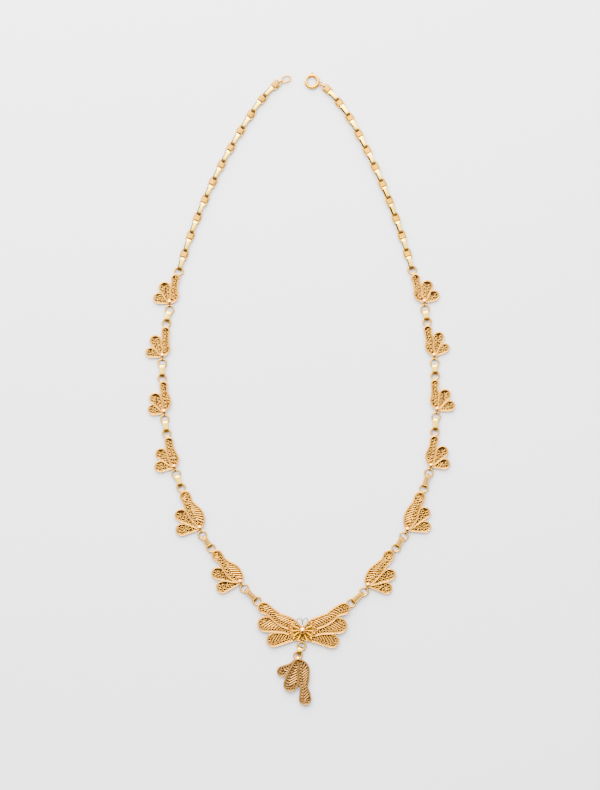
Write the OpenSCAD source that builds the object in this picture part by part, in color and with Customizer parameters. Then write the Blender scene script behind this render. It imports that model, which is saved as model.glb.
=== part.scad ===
// Filigree necklace laid out flat as a closed loop: two wire chains, twelve
// three-lobed plaques, a butterfly with a rosette and antennae, and a hanging drop.
// Lengths are in millimetres. The loop lies in the XY plane and rests on z = 0.

/* [Node] */
// Node to draw, or all

/* [Plaques] */
// Width of the raised rim wire
rim_w = 0.55; // [0.35:0.05:0.7]
// Distance that the rim wire stands out past a lobe's own radius
rim_out = 0.18; // [0:0.01:0.3]
// Height of the main lobe of a side plaque
plaque_h = 1.5; // [1.2:0.05:1.8]
// Drop in height from one lobe to the next
lobe_step = 0.2; // [0.1:0.05:0.3]
// Height of the underside of the pierced floor
floor_z = 0.3; // [0.1:0.05:0.5]
// Thickness of the pierced floor
floor_t = 0.5; // [0.3:0.05:0.7]
// Radius of a round hole as a share of its lobe's inner radius
hole_share = 0.42; // [0.3:0.01:0.5]
// Height of the wire eyelet round each hole
eyelet_h = 0.22; // [0.1:0.02:0.4]
// Width of the wire eyelet round each hole
eyelet_w = 0.2; // [0.1:0.02:0.3]

/* [Jump rings and box links] */
// Radius of a jump ring to the middle of its wire
ring_r = 1.4; // [1.1:0.01:1.6]
// Wire thickness of a jump ring
ring_wire = 0.5; // [0.3:0.05:0.6]
// Height of the middle of the jump rings
ring_z = 0.8; // [0.7:0.01:1.0]
// Width of a box link's strip
box_w = 1.9; // [1.4:0.05:2.0]
// Height of a box link
box_h = 1.5; // [1.3:0.05:1.7]
// Thickness of the strip
strip_t = 0.3; // [0.25:0.01:0.4]
// Length of the taper at each end of a box link
box_taper = 0.63; // [0.4:0.01:0.7]
// Distance from a ring's middle to the end of the box link in it
box_reach = 0.45; // [0.4:0.05:0.7]

/* [Chains] */
// Distance between neighbouring links of the left chain
left_step = 3.4; // [3.2:0.01:3.45]
// Distance between neighbouring links of the right chain
right_step = 3.23; // [3.2:0.01:3.4]
// Links in each chain
chain_links = 22; // [10:2:30]
// Length of a wide link
wide_l = 3.84; // [3.6:0.02:4.2]
// Width of a wide link
wide_w = 2.8; // [2.2:0.05:3.0]
// Wire thickness of a wide link
wide_wire = 0.42; // [0.3:0.02:0.5]
// Length of the wound collar round a wide link's waist
collar_l = 1.36; // [1.2:0.02:1.6]
// Length of a strip link
strip_l = 4.8; // [4.6:0.02:4.9]
// Width of a strip link
strip_w = 1.54; // [1.0:0.02:1.7]
// Height of a strip link
strip_h = 1.56; // [1.3:0.02:1.6]

/* [Clasp] */
// Radius of the spring ring to the middle of its tube
clasp_r = 2.1; // [1.8:0.05:2.5]
// Radius of the spring ring's tube
tube_r = 0.62; // [0.45:0.01:0.7]
// Radius of the bore that the bolt slides in
bore_r = 0.43; // [0.35:0.01:0.5]
// Radius of the sliding bolt
bolt_r = 0.36; // [0.3:0.01:0.42]
// Height of the middle of the spring ring
clasp_z = 0.8; // [0.7:0.01:1.0]

/* [Butterfly] */
// Heights of the upper, middle and lower wing lobes
wing_heights = [2.0, 1.65, 1.3];
// Height of the seat that the rosette stands on
seat_z = 1.05; // [0.8:0.05:1.2]
// Radius from the rosette's middle to its rim beads
petal_bead_r = 4.3; // [4.0:0.05:4.6]
// Radius of the domed middle bead
dome_r = 1.28; // [1.1:0.02:1.4]

/* [Hidden] */
eps = 0.01;
curve = 48;
body_shift = [0.02, -0.056, 0];
clasp_at = [4.1, 107.7];
rosette_at = [0.77, -84.4];
bore_from = 20;
gap_from = 130;
gap_to = 185;
bolt_tail = 70;
bolt_tip = 188;
knob_at = 88;

function pair(name) = [for (side = ["left", "right"]) for (i = [1:6]) str(name, "_", side, "_", i)];

// Each plaque holds: main lobe rows [x, y, radius] from top to bead, the bead
// [x, y, radius], lobe 2 and lobe 3 as [x, y, radius], the soldered top ring
// [x, y], and the next point of the chain below the bead [x, y].
left_plaques = [
    [[[-43.6, 38.75, 1.43], [-44.0, 36.65, 1.13], [-44.25, 34.4, 1.4], [-44.1, 32.2, 1.35]],
        [-45.75, 30.5, 0.93], [-47.4, 35.4, 2.1], [-49.5, 31.8, 1.9], [-42.45, 41.3], [-45.75, 28.15]],
    [[[-47.1, 20.3, 1.4], [-47.2, 17.9, 1.18], [-47.3, 15.7, 1.43], [-46.9, 13.7, 1.22]],
        [-48.3, 11.8, 0.93], [-50.65, 16.85, 2.0], [-52.3, 12.8, 1.8], [-46.85, 23.15], [-48.3, 8.95]],
    [[[-47.85, 1.35, 1.37], [-47.65, -0.95, 1.16], [-47.2, -2.85, 1.5], [-46.75, -4.9, 1.4]],
        [-47.7, -7.8, 0.93], [-50.7, -3.3, 2.0], [-51.3, -7.2, 1.96], [-48.35, 3.9], [-47.5, -9.9]],
    [[[-46.0, -18.3, 1.47], [-45.6, -20.6, 1.33], [-45.0, -22.8, 1.68], [-44.3, -24.7, 1.79]],
        [-44.2, -27.05, 0.93], [-48.6, -22.7, 2.0], [-49.0, -27.15, 1.96], [-46.75, -15.45], [-43.45, -29.7]],
    [[[-40.25, -37.4, 1.82], [-39.2, -39.9, 1.68], [-38.15, -41.7, 2.07],
        [-36.5, -43.9, 2.52], [-35.3, -46.2, 1.82]],
        [-35.2, -48.5, 1.0], [-41.65, -44.2, 2.2], [-41.45, -49.25, 2.1], [-41.75, -34.45], [-34.25, -51.2]],
    [[[-29.15, -58.1, 1.82], [-27.2, -60.3, 1.37], [-25.65, -61.95, 1.89],
        [-23.55, -63.9, 2.52], [-21.8, -65.8, 1.82]],
        [-21.05, -67.4, 1.0], [-28.8, -64.5, 2.2], [-27.25, -69.35, 2.1], [-31.3, -55.6], [-19.45, -70.0]]
];
right_plaques = [
    [[[40.3, 38.75, 1.47], [40.8, 36.9, 1.16], [41.2, 34.8, 1.47], [41.3, 32.5, 1.26]],
        [43.45, 30.75, 0.93], [44.35, 36.05, 2.0], [46.7, 32.7, 1.86], [39.15, 41.7], [43.6, 28.4]],
    [[[44.6, 20.8, 1.4], [44.85, 19.0, 1.16], [45.3, 16.8, 1.4], [45.25, 14.5, 1.4]],
        [46.85, 11.9, 0.93], [48.35, 18.1, 1.9], [50.5, 14.4, 1.6], [44.4, 23.6], [47.0, 9.75]],
    [[[47.1, 1.95, 1.33], [47.05, -0.35, 1.1], [47.2, -2.1, 1.44], [46.95, -4.4, 1.4]],
        [47.9, -6.95, 0.93], [50.55, -2.05, 2.03], [52.2, -5.85, 1.86], [47.2, 4.8], [47.5, -9.5]],
    [[[46.9, -17.8, 1.44], [46.45, -19.7, 1.23], [46.1, -21.45, 1.54], [45.55, -23.65, 1.72]],
        [45.75, -26.7, 0.93], [49.6, -22.0, 2.07], [50.35, -26.15, 1.89], [47.1, -14.85], [44.9, -29.6]],
    [[[41.85, -37.75, 1.82], [40.9, -40.1, 1.68], [39.55, -42.5, 2.1],
        [38.75, -44.6, 2.38], [38.05, -46.55, 1.86]],
        [37.55, -49.05, 1.0], [43.35, -43.35, 2.07], [43.6, -48.2, 2.0], [43.25, -34.73], [36.25, -51.45]],
    [[[31.0, -58.2, 1.82], [29.95, -60.1, 1.6], [28.1, -62.0, 1.82],
        [26.25, -64.05, 2.24], [24.4, -66.5, 1.82]],
        [23.75, -68.5, 1.0], [31.2, -65.0, 2.1], [30.05, -69.7, 2.03], [33.55, -55.6], [22.25, -71.05]]
];

// Wing lobes of the butterfly as rows [x, y, radius] from tip to body,
// in the order upper left, upper right, middle left, middle right, lower left, lower right.
wings = [
    [[-12.8, -76.5, 2.0], [-10.65, -77.85, 1.6], [-7.9, -80.05, 1.8], [-5.1, -81.4, 2.17],
        [-2.55, -82.5, 1.75], [-0.45, -83.65, 0.7]],
    [[15.3, -76.8, 2.05], [12.7, -77.9, 1.7], [10.05, -80.1, 1.83], [7.0, -81.45, 2.07],
        [4.25, -82.4, 1.75], [2.0, -83.65, 0.7]],
    [[-12.15, -82.25, 2.7], [-8.7, -83.3, 1.82], [-5.55, -84.35, 1.1],
        [-2.9, -85.6, 0.85], [-1.15, -86.1, 0.5]],
    [[13.5, -82.75, 2.8], [10.2, -83.8, 1.9], [7.05, -84.8, 1.12],
        [4.6, -85.75, 0.85], [2.6, -86.1, 0.5]],
    [[-9.35, -87.85, 2.4], [-6.75, -87.4, 2.06], [-4.15, -87.1, 1.47],
        [-1.85, -87.1, 0.98], [-0.1, -87.2, 0.6]],
    [[11.1, -88.2, 2.4], [8.45, -87.75, 2.0], [5.85, -87.4, 1.54],
        [3.4, -87.3, 1.05], [1.3, -87.3, 0.6]]
];
wing_rings = [[-15.15, -74.15], [17.95, -74.85]];

// Lobes of the drop as rows [x, y, radius] from tip to bead: right, middle, left.
drop_lobes = [
    [[1.7, -108.5, 2.07], [1.6, -106.75, 1.82], [1.3, -104.5, 1.3], [1.1, -102.55, 1.75], [1.1, -100.1, 2.07],
        [1.1, -97.3, 1.75], [-0.6, -94.9, 0.7]],
    [[-3.4, -103.4, 2.4], [-2.75, -100.8, 2.1], [-1.95, -97.65, 1.33], [-0.9, -94.8, 0.7]],
    [[-6.25, -98.8, 1.82], [-3.25, -96.95, 1.1], [-0.8, -94.6, 0.7]]
];
drop_bead = [-0.8, -94.4, 1.1];
drop_top = [-0.85, -93.2];
drop_lug = [0.75, -88.6];
drop_jump = [0.45, -89.97];

// Chain paths up from the plaques: bend radius and length of each arc.
left_arcs = [[-204, 60], [-45, 20]];
right_arcs = [[232.4, 52.4], [53.9, 25]];
left_heading = 73.1;
right_heading = 105.8;
end_ring_at = [-5.05, 108.5, 20];

// Vector helpers.
function flat(p) = [p[0], p[1]];
function along(a) = [cos(a), sin(a)];
function heading(a, b) = atan2(b[1] - a[1], b[0] - a[0]);
function row(s, i) = s[max(0, min(len(s) - 1, i))];

// A point between rows b and c of a smooth curve through a, b, c and d.
function blend(a, b, c, d, t) =
    0.5 * (2 * b + (c - a) * t + (2 * a - 5 * b + 4 * c - d) * t * t + (3 * b - a - 3 * c + d) * t * t * t);
function smooth(s, n) = concat(
    [for (i = [0:len(s) - 2]) for (k = [0:n - 1])
        blend(row(s, i - 1), row(s, i), row(s, i + 1), row(s, i + 2), k / n)],
    [s[len(s) - 1]]
);

// Outline of the circles of a spine, drawn in by an inset.
function turn_at(q, i) = heading(row(q, i - 1), row(q, i + 1));
function lean(q, i) =
    let (a = row(q, i - 1), b = row(q, i + 1), ratio = (a[2] - b[2]) / norm(flat(b) - flat(a)))
    acos(max(-0.95, min(0.95, ratio)));
function edge(p, inset, a) = flat(p) + max(0.05, p[2] + rim_out - inset) * along(a);
function cap(q, i, inset, from, to, n) =
    [for (k = [0:n]) edge(q[i], inset, turn_at(q, i) + from + (to - from) * k / n)];
function outline(s, inset = 0) =
    let (q = smooth(s, 3), n = len(q) - 1, a = lean(q, 0), b = lean(q, n))
    concat(
        cap(q, 0, inset, a, 360 - a, 12),
        [for (i = [1:n - 1]) edge(q[i], inset, turn_at(q, i) - lean(q, i))],
        cap(q, n, inset, -b, b, 8),
        [for (i = [n - 1:-1:1]) edge(q[i], inset, turn_at(q, i) + lean(q, i))]
    );

function round_box(l, w, r) =
    [for (c = [[1, 1, 0], [-1, 1, 90], [-1, -1, 180], [1, -1, 270]]) for (k = [0:4])
        [c[0] * (l / 2 - r), c[1] * (w / 2 - r)] + r * along(c[2] + 22.5 * k)];

// Place and heading after a length of arcs: [x, y, heading].
function arc_end(p, r, l) =
    let (turn = l / r * 180 / PI, c = flat(p) + r * along(p[2] + 90))
    concat(c - r * along(p[2] + 90 + turn), p[2] + turn);
function on_path(p, arcs, s, i = 0) =
    s <= arcs[i][1] || i == len(arcs) - 1
        ? arc_end(p, arcs[i][0], s)
        : on_path(arc_end(p, arcs[i][0], arcs[i][1]), arcs, s - arcs[i][1], i + 1);

// Places that follow from the tables.
function bead_heading(p) = heading(p[1], p[5]);
function eyelet_place(p) = flat(p[1]) + (p[1][2] + 0.38) * along(bead_heading(p));
function ring_place(p) = eyelet_place(p) + ring_r * along(bead_heading(p));
function next_ring(plaques, side, i) = i < 5 ? plaques[i + 1][4] : wing_rings[side];
function chain_start(ring, a) = concat(ring + (strip_l / 2 + 0.3) * along(a), a);

left_start = chain_start(left_plaques[0][4], left_heading);
right_start = chain_start(right_plaques[0][4], right_heading);
left_end = on_path(left_start, left_arcs, left_step * (chain_links - 1));
right_end = on_path(right_start, right_arcs, right_step * (chain_links - 1));
wide_end = (wide_l - wide_wire) / 2;
eye_r = 0.7;
eye_at = clasp_at + (clasp_r + 0.9) * along(-15);

// Roll and height of link k of the right chain, which lies a little twisted.
function bump(k, a, b, roll) = k > a && k < b ? roll * sin(180 * (k - a) / (b - a)) : 0;
function right_roll(k) = bump(k, 2, 11, 17) + bump(k, 11, 16, 12) + bump(k, 16, 20, 8);
function right_z(k) = 0.82 + 0.3 * min(1, k / 8, (chain_links - 1 - k) / 8);

module at(p, z) {
    translate([p[0], p[1], z])
        children();
}

module torus(r, wire) {
    rotate_extrude($fn = curve)
        translate([r, 0])
            circle(d = wire, $fn = 24);
}

// Round holes of one lobe, at every second station of its spine.
module holes(s, inset, grow, every) {
    q = smooth(s, 2);
    for (i = [0:every:len(q) - 2])
        if (q[i][2] > 0.9)
            translate(flat(q[i]))
                circle(r = hole_share * (q[i][2] - inset) + grow, $fn = 24);
}

module lobe_holes(c, grow) {
    translate(flat(c))
        circle(r = hole_share * (c[2] - rim_w) + grow, $fn = 24);
}

// Raised rim of one lobe, cut away where higher lobes cover it.
module rim(s, height, covers) {
    linear_extrude(height = height)
        difference() {
            polygon(outline(s));
            polygon(outline(s, rim_w));
            for (c = covers)
                polygon(outline(c, 0.12));
        }
}

// Upright eyelet that a jump ring passes through.
module upright_eyelet(p, a) {
    at(p, ring_z)
        rotate([90, 0, a])
            torus(0.56, 0.4);
}

module plaque(p) {
    main = concat(p[0], [[p[1][0], p[1][1], 0.7]]);
    side_2 = [p[2], [p[1][0], p[1][1], 0.7]];
    side_3 = [p[3], [p[1][0], p[1][1], 0.7]];
    color([0.9, 0.72, 0.44]) {
        rim(main, plaque_h, []);
        rim(side_2, plaque_h - lobe_step, [main]);
        rim(side_3, plaque_h - 2 * lobe_step, [main, side_2]);
        translate([0, 0, floor_z])
            linear_extrude(height = floor_t)
                difference() {
                    union() {
                        polygon(outline(main, rim_w / 2));
                        polygon(outline(side_2, rim_w / 2));
                        polygon(outline(side_3, rim_w / 2));
                    }
                    holes(p[0], rim_w, 0, 2);
                    lobe_holes(p[2], 0);
                    lobe_holes(p[3], 0);
                }
        translate([0, 0, floor_z + eps])
            linear_extrude(height = floor_t + eyelet_h)
                difference() {
                    union() {
                        holes(p[0], rim_w, eyelet_w, 2);
                        lobe_holes(p[2], eyelet_w);
                        lobe_holes(p[3], eyelet_w);
                    }
                    holes(p[0], rim_w, 0, 2);
                    lobe_holes(p[2], 0);
                    lobe_holes(p[3], 0);
                }
        at(p[1], 1.0)
            sphere(r = p[1][2], $fn = curve);
        at(p[4], ring_z)
            torus(ring_r, ring_wire);
        upright_eyelet(eyelet_place(p), bead_heading(p));
    }
}

module jump_ring(p) {
    color([0.93, 0.74, 0.42])
        at(p, ring_z)
            torus(ring_r, ring_wire);
}

// Upright strip bent to a loop, seen edge on from the side.
module strip_loop(l, h, w, t) {
    rotate([90, 0, 0])
        linear_extrude(height = w, center = true)
            difference() {
                polygon(round_box(l, h, 0.45));
                polygon(round_box(l - 2 * t, h - 2 * t, 0.2));
            }
}

// Box link between two rings, its ends narrowed to fit inside them.
module box_link(a, b) {
    l = norm(b - a) - 2 * box_reach;
    color([0.93, 0.74, 0.42])
        at((a + b) / 2, ring_z)
            rotate([0, 0, heading(a, b)])
                intersection() {
                    strip_loop(l, box_h, box_w, strip_t);
                    linear_extrude(height = 2 * box_h, center = true)
                        polygon([
                            for (c = [[1, 1], [-1, 1], [-1, -1], [1, -1]])
                                for (e = c[0] * c[1] > 0 ? [0, 1] : [1, 0])
                                    [c[0] * (l / 2 - e * box_taper), c[1] * (box_w / 2 - (1 - e) * box_taper)]
                        ]);
                }
}

// Small plain link that joins two wires.
module small_link(a, b, z) {
    at((a + b) / 2, z)
        rotate([0, 0, heading(a, b)])
            strip_loop(norm(b - a) + 1.38, 1.4, 0.4, 0.28);
}

// Wide chain link: a flat wire frame with a wound collar round its waist.
module wide_link() {
    wraps = 5;
    pitch = collar_l / (2 * wraps - 1);
    linear_extrude(height = wide_wire, center = true)
        difference() {
            polygon(round_box(wide_l, wide_w, 0.6));
            polygon(round_box(wide_l - 2 * wide_wire, wide_w - 2 * wide_wire, 0.15));
        }
    intersection() {
        rotate([90, 0, 0])
            linear_extrude(height = wide_w, center = true)
                polygon(concat(
                    [for (k = [0:2 * wraps - 1]) for (e = [0, 1])
                        if (k + e > 0 && k + e < 2 * wraps)
                            [-collar_l / 2 + pitch * k, (k + e) % 2 == 1 ? 0.68 : 0.56]],
                    [for (k = [2 * wraps - 1:-1:0]) for (e = [1, 0])
                        if (k + e > 0 && k + e < 2 * wraps)
                            [-collar_l / 2 + pitch * k, (k + e) % 2 == 1 ? -0.68 : -0.56]]
                ));
        rotate([90, 0, 90])
            linear_extrude(height = 2 * collar_l, center = true)
                polygon(round_box(wide_w - 0.16, 1.5, 0.6));
    }
}

module chain_link(k) {
    if (k % 2 == 0) strip_loop(strip_l, strip_h, strip_w, strip_t);
    else wide_link();
}

module chain_left() {
    color([0.93, 0.74, 0.42])
        for (k = [0:chain_links - 1]) {
            p = on_path(left_start, left_arcs, left_step * k);
            at(p, 0.8)
                rotate([0, 0, p[2]])
                    chain_link(k);
        }
}

module chain_right() {
    color([0.93, 0.74, 0.42])
        for (k = [0:chain_links - 1]) {
            p = on_path(right_start, right_arcs, right_step * k);
            at(p, right_z(k))
                rotate([0, 0, p[2]])
                    rotate([right_roll(k), 0, 0])
                        chain_link(k);
        }
}

// Spring ring: a hollow tube with a gap, a slot for the thumb knob and an eye.
module clasp_ring() {
    color([0.93, 0.74, 0.42])
        at(clasp_at, clasp_z)
            difference() {
                union() {
                    rotate([0, 0, gap_to])
                        rotate_extrude(angle = 360 + gap_from - gap_to, $fn = curve)
                            translate([clasp_r, 0])
                                circle(r = tube_r, $fn = curve);
                    rotate([0, 0, -15])
                        translate([clasp_r + 0.9, 0, 0])
                            torus(eye_r, 0.36);
                }
                rotate([0, 0, bore_from])
                    rotate_extrude(angle = gap_from - bore_from + 1, $fn = curve)
                        translate([clasp_r, 0])
                            circle(r = bore_r, $fn = curve);
                rotate([0, 0, gap_to - 1])
                    rotate_extrude(angle = 8, $fn = curve)
                        translate([clasp_r, 0])
                            circle(r = bore_r, $fn = curve);
                rotate([0, 0, knob_at - 52])
                    rotate_extrude(angle = 59, $fn = curve)
                        translate([clasp_r, -0.22])
                            square([1, 0.44]);
            }
}

module clasp_bolt() {
    color([0.93, 0.74, 0.42])
        at(clasp_at, clasp_z) {
            rotate([0, 0, bolt_tail])
                rotate_extrude(angle = bolt_tip - bolt_tail, $fn = curve)
                    translate([clasp_r, 0])
                        circle(r = bolt_r, $fn = curve);
            rotate([0, 0, knob_at])
                translate([clasp_r, 0, 0])
                    rotate([0, 90, 0])
                        cylinder(h = 0.8, r = 0.15, $fn = 24);
            rotate([0, 0, knob_at])
                translate([clasp_r + tube_r + 0.07, 0, 0])
                    rotate([0, 90, 0])
                        cylinder(h = 0.36, r = 0.34, $fn = 24);
        }
}

module clasp_link() {
    eye_wire = eye_at + eye_r * along(heading(eye_at, flat(right_end)));
    wire_end = flat(right_end) + wide_end * along(right_end[2]);
    color([0.93, 0.74, 0.42])
        small_link(eye_wire, wire_end, 0.81);
}

module end_ring() {
    color([0.93, 0.74, 0.42])
        at(end_ring_at, 0.8)
            rotate([0, 0, end_ring_at[2]])
                linear_extrude(height = 0.42, center = true)
                    difference() {
                        polygon(round_box(3.7, 2.6, 1.2));
                        polygon(round_box(2.86, 1.76, 0.8));
                    }
}

module end_link() {
    wire_end = flat(left_end) + wide_end * along(left_end[2]);
    color([0.93, 0.74, 0.42])
        small_link(wire_end, flat(end_ring_at) - 1.64 * along(end_ring_at[2]), 0.8);
}

// Wings: six lobes in three layers, pierced floors, a hub under the rosette,
// two soldered rings at the upper tips and an upright lug for the drop.
module butterfly() {
    color([0.9, 0.72, 0.44]) {
        difference() {
            for (i = [0:5])
                rim(wings[i], wing_heights[floor(i / 2)], [for (j = [0:5]) if (j < i) wings[j]]);
            at(rosette_at, seat_z)
                cylinder(h = 3, r = petal_bead_r + 0.55, $fn = curve);
        }
        translate([0, 0, floor_z])
            linear_extrude(height = floor_t)
                difference() {
                    union() {
                        for (w = wings)
                            polygon(outline(w, rim_w / 2));
                        translate(rosette_at + [0, -0.8])
                            circle(r = 2.2, $fn = curve);
                        translate(drop_lug + [0, 0.95])
                            circle(r = 0.6, $fn = curve);
                    }
                    for (w = wings)
                        holes(w, rim_w, 0, 2);
                }
        translate([0, 0, floor_z + eps])
            linear_extrude(height = floor_t + eyelet_h)
                difference() {
                    for (w = wings)
                        holes(w, rim_w, eyelet_w, 2);
                    for (w = wings)
                        holes(w, rim_w, 0, 2);
                }
        at(rosette_at + [0, -0.8], floor_z + eps)
            cylinder(h = seat_z - floor_z - eps, r = 1.6, $fn = curve);
        for (p = wing_rings)
            at(p, ring_z)
                torus(ring_r, ring_wire);
        upright_eyelet(drop_lug, heading(drop_lug, drop_jump));
    }
}

petals = [25, -5, -32, -65, -115, -148, -175, -205];
petal_beads = [40, 12, -15, -43, -137, -165, -192, -220];

// Rosette: eight ridged petals, eight rim beads and a domed bead with a neck.
module rosette() {
    color([0.98, 0.74, 0.28])
        at(rosette_at, seat_z) {
            for (a = petals)
                rotate([0, 0, a]) {
                    leaf = [[3.3, 0, 0.72], [1.9, 0, 0.4], [0.7, 0, 0.2]];
                    linear_extrude(height = 0.35)
                        polygon(outline(leaf, 0.02));
                    linear_extrude(height = 0.8)
                        difference() {
                            polygon(outline(leaf));
                            polygon(outline(leaf, 0.26));
                        }
                    linear_extrude(height = 0.62)
                        polygon(outline([[3.3, 0, 0.12], [1.0, 0, 0.02]]));
                }
            for (a = petal_beads)
                at(petal_bead_r * along(a), 0.45)
                    sphere(r = 0.44, $fn = curve);
            for (a = petal_beads)
                rotate([0, 0, a])
                    translate([2.6, -0.16, 0])
                        cube([1.6, 0.32, 0.4]);
            cylinder(h = 0.9, r = 1.45, $fn = curve);
            intersection() {
                translate([0, 0, 0.9])
                    sphere(r = dome_r, $fn = curve);
                cylinder(h = 4, r = 2, $fn = curve);
            }
            linear_extrude(height = 1.0)
                polygon(outline([[-0.1, 1.15, 0.18], [0, 0.2, 0.55]]));
        }
}

// Antennae: one bent wire with a short stem and two curled arms.
antenna_stem = [[0.75, -82.62], [0.77, -81.5]];
left_curl = [
    [0.77, -81.5], [0.5, -80.75], [0.1, -80.25], [-0.4, -80.15],
    [-0.85, -80.4], [-1.05, -80.8], [-0.8, -81.05]
];
right_curl = [
    [0.77, -81.5], [1.05, -80.75], [1.5, -80.25], [2.0, -80.15],
    [2.45, -80.4], [2.65, -80.8], [2.4, -81.05]
];

module wire(points, r) {
    for (i = [0:len(points) - 2])
        hull()
            for (p = [points[i], points[i + 1]])
                at(p, 0)
                    sphere(r = r, $fn = 8);
}

module antennae() {
    color([0.62, 0.55, 0.42])
        translate([0, 0, 1.35]) {
            wire(antenna_stem, 0.2);
            wire(left_curl, 0.17);
            wire(right_curl, 0.17);
        }
}

// Drop: three pierced lobes under a bead and a soldered ring.
module drop() {
    color([0.85, 0.66, 0.38]) {
        rim(drop_lobes[0], 1.5, []);
        rim(drop_lobes[1], 1.7, [drop_lobes[0]]);
        rim(drop_lobes[2], 1.3, [drop_lobes[0], drop_lobes[1]]);
        translate([0, 0, floor_z])
            linear_extrude(height = floor_t)
                difference() {
                    union()
                        for (w = drop_lobes)
                            polygon(outline(w, rim_w / 2));
                    for (w = drop_lobes)
                        holes(w, rim_w, 0, 3);
                }
        translate([0, 0, floor_z + eps])
            linear_extrude(height = floor_t + eyelet_h)
                difference() {
                    for (w = drop_lobes)
                        holes(w, rim_w, eyelet_w, 3);
                    for (w = drop_lobes)
                        holes(w, rim_w, 0, 3);
                }
        at(drop_bead, 1.1)
            sphere(r = drop_bead[2], $fn = curve);
        at(drop_top, ring_z)
            torus(ring_r, ring_wire);
    }
}

module drop_ring() {
    jump_ring(drop_jump);
}

module drop_link() {
    box_link(drop_jump, drop_top);
}

translate(body_shift) {
    clasp_ring();
    clasp_bolt();
    clasp_link();
    end_ring();
    end_link();
    chain_left();
    chain_right();
    for (side = [0, 1])
        for (i = [0:5]) {
            plaques = side == 0 ? left_plaques : right_plaques;
            tag = str(side == 0 ? "_left_" : "_right_", i + 1);
            ring = ring_place(plaques[i]);
            plaque(plaques[i]);
            jump_ring(ring);
            box_link(ring, next_ring(plaques, side, i));
        }
    butterfly();
    rosette();
    antennae();
    drop();
    drop_ring();
    drop_link();
}
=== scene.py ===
"""Looks of a filigree necklace laid out flat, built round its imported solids.

The tables repeat the part's own places, in millimetres. SHIFT brings them into the
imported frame, and a piece is scaled to metres when it leaves the bench.
"""

from __future__ import annotations

import logging
import math
from dataclasses import dataclass, field
from enum import Enum
from typing import Callable, Iterable, Sequence

import bmesh
import bpy
from mathutils import Matrix, Vector

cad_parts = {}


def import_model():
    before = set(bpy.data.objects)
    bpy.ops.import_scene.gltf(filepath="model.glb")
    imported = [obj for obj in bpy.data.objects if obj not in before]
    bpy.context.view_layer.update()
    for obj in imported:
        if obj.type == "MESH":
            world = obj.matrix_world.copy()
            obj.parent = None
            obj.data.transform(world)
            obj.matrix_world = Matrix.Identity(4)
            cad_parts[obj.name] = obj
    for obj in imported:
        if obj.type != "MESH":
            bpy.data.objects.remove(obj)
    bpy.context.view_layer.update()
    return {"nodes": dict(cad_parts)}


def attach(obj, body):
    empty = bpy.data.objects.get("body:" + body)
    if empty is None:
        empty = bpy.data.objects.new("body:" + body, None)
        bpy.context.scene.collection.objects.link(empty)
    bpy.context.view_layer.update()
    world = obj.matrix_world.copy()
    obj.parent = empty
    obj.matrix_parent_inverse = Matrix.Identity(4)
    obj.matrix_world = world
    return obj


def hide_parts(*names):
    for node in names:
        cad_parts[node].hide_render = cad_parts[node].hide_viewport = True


LOG = logging.getLogger("necklace")
MM = 0.001
SHIFT = Vector((0.02, -0.056, 0.0))
UPRIGHT = Matrix.Rotation(math.radians(90), 4, "X")
FLOOR_Z = 0.3
RIM_OUT = 0.18
RIM_WIDTH = 0.55
RING_RADIUS = 1.4
RING_WIRE = 0.33
RING_Z = 0.8

Point = tuple[float, float]
Row = tuple[float, float, float]
Colour = tuple[float, float, float]
Run = tuple[list[Vector], bool]
Station = tuple[Vector, float, float]


class Slot(Enum):
    """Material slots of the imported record."""

    CHAIN = "chain_gold"
    FILIGREE = "filigree_gold"
    ROSETTE = "rosette_gold"
    ANTENNA = "antenna_wire"


class Fill(Enum):
    """Ways to fill a lobe with small wire."""

    RAYS = "eyelets along one side, with rays across to the other"
    EYELETS = "eyelets all over, with rays in the room that they leave"


class Side(Enum):
    """Side of a lobe's middle line, seen from its tip."""

    LEFT = 1.0
    RIGHT = -1.0


# Materials

PATINA_AND_SHADE = "old_gold_patina_and_shade"
PATINA_AND_SHADE_COLOURS = ("Bright", "Deep")
PATINA_AND_SHADE_VALUES = ("Low", "High", "Grain", "Wear", "Roughness", "Relief")


def add_node(
    tree: bpy.types.NodeTree, kind: str, inputs: dict[int | str, object], **options: object
) -> bpy.types.Node:
    """Adds a node to a tree.

    Args:
        tree: the tree that gets the node.
        kind: the node's type.
        inputs: what its sockets get, which is another node's socket or a plain value.
        options: the node's own settings.

    Returns:
        The node.
    """
    node = tree.nodes.new(kind)
    for name, value in options.items():
        setattr(node, name, value)
    for key, value in inputs.items():
        if isinstance(value, bpy.types.NodeSocket):
            tree.links.new(value, node.inputs[key])
        else:
            node.inputs[key].default_value = value
    return node


def reckon(tree: bpy.types.NodeTree, operation: str, first: object, second: object) -> bpy.types.NodeSocket:
    """Works out one operation on two sockets or numbers."""
    return add_node(tree, "ShaderNodeMath", {0: first, 1: second}, operation=operation).outputs[0]


def ramp(
    tree: bpy.types.NodeTree,
    value: object,
    low: object,
    high: object,
    result: Point = (0.0, 1.0),
    eased: bool = True,
) -> bpy.types.NodeSocket:
    """Maps a value between two limits to another span.

    Args:
        tree: the tree that gets the node.
        value: the socket to map.
        low: the lower limit, a number or a socket.
        high: the upper limit, a number or a socket.
        result: what comes out at the two limits.
        eased: whether the ramp starts and ends gently.

    Returns:
        The mapped value's socket.
    """
    shape = "SMOOTHSTEP" if eased else "LINEAR"
    inputs = {"Value": value, "From Min": low, "From Max": high, "To Min": result[0], "To Max": result[1]}
    return add_node(tree, "ShaderNodeMapRange", inputs, interpolation_type=shape).outputs[0]


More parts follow.
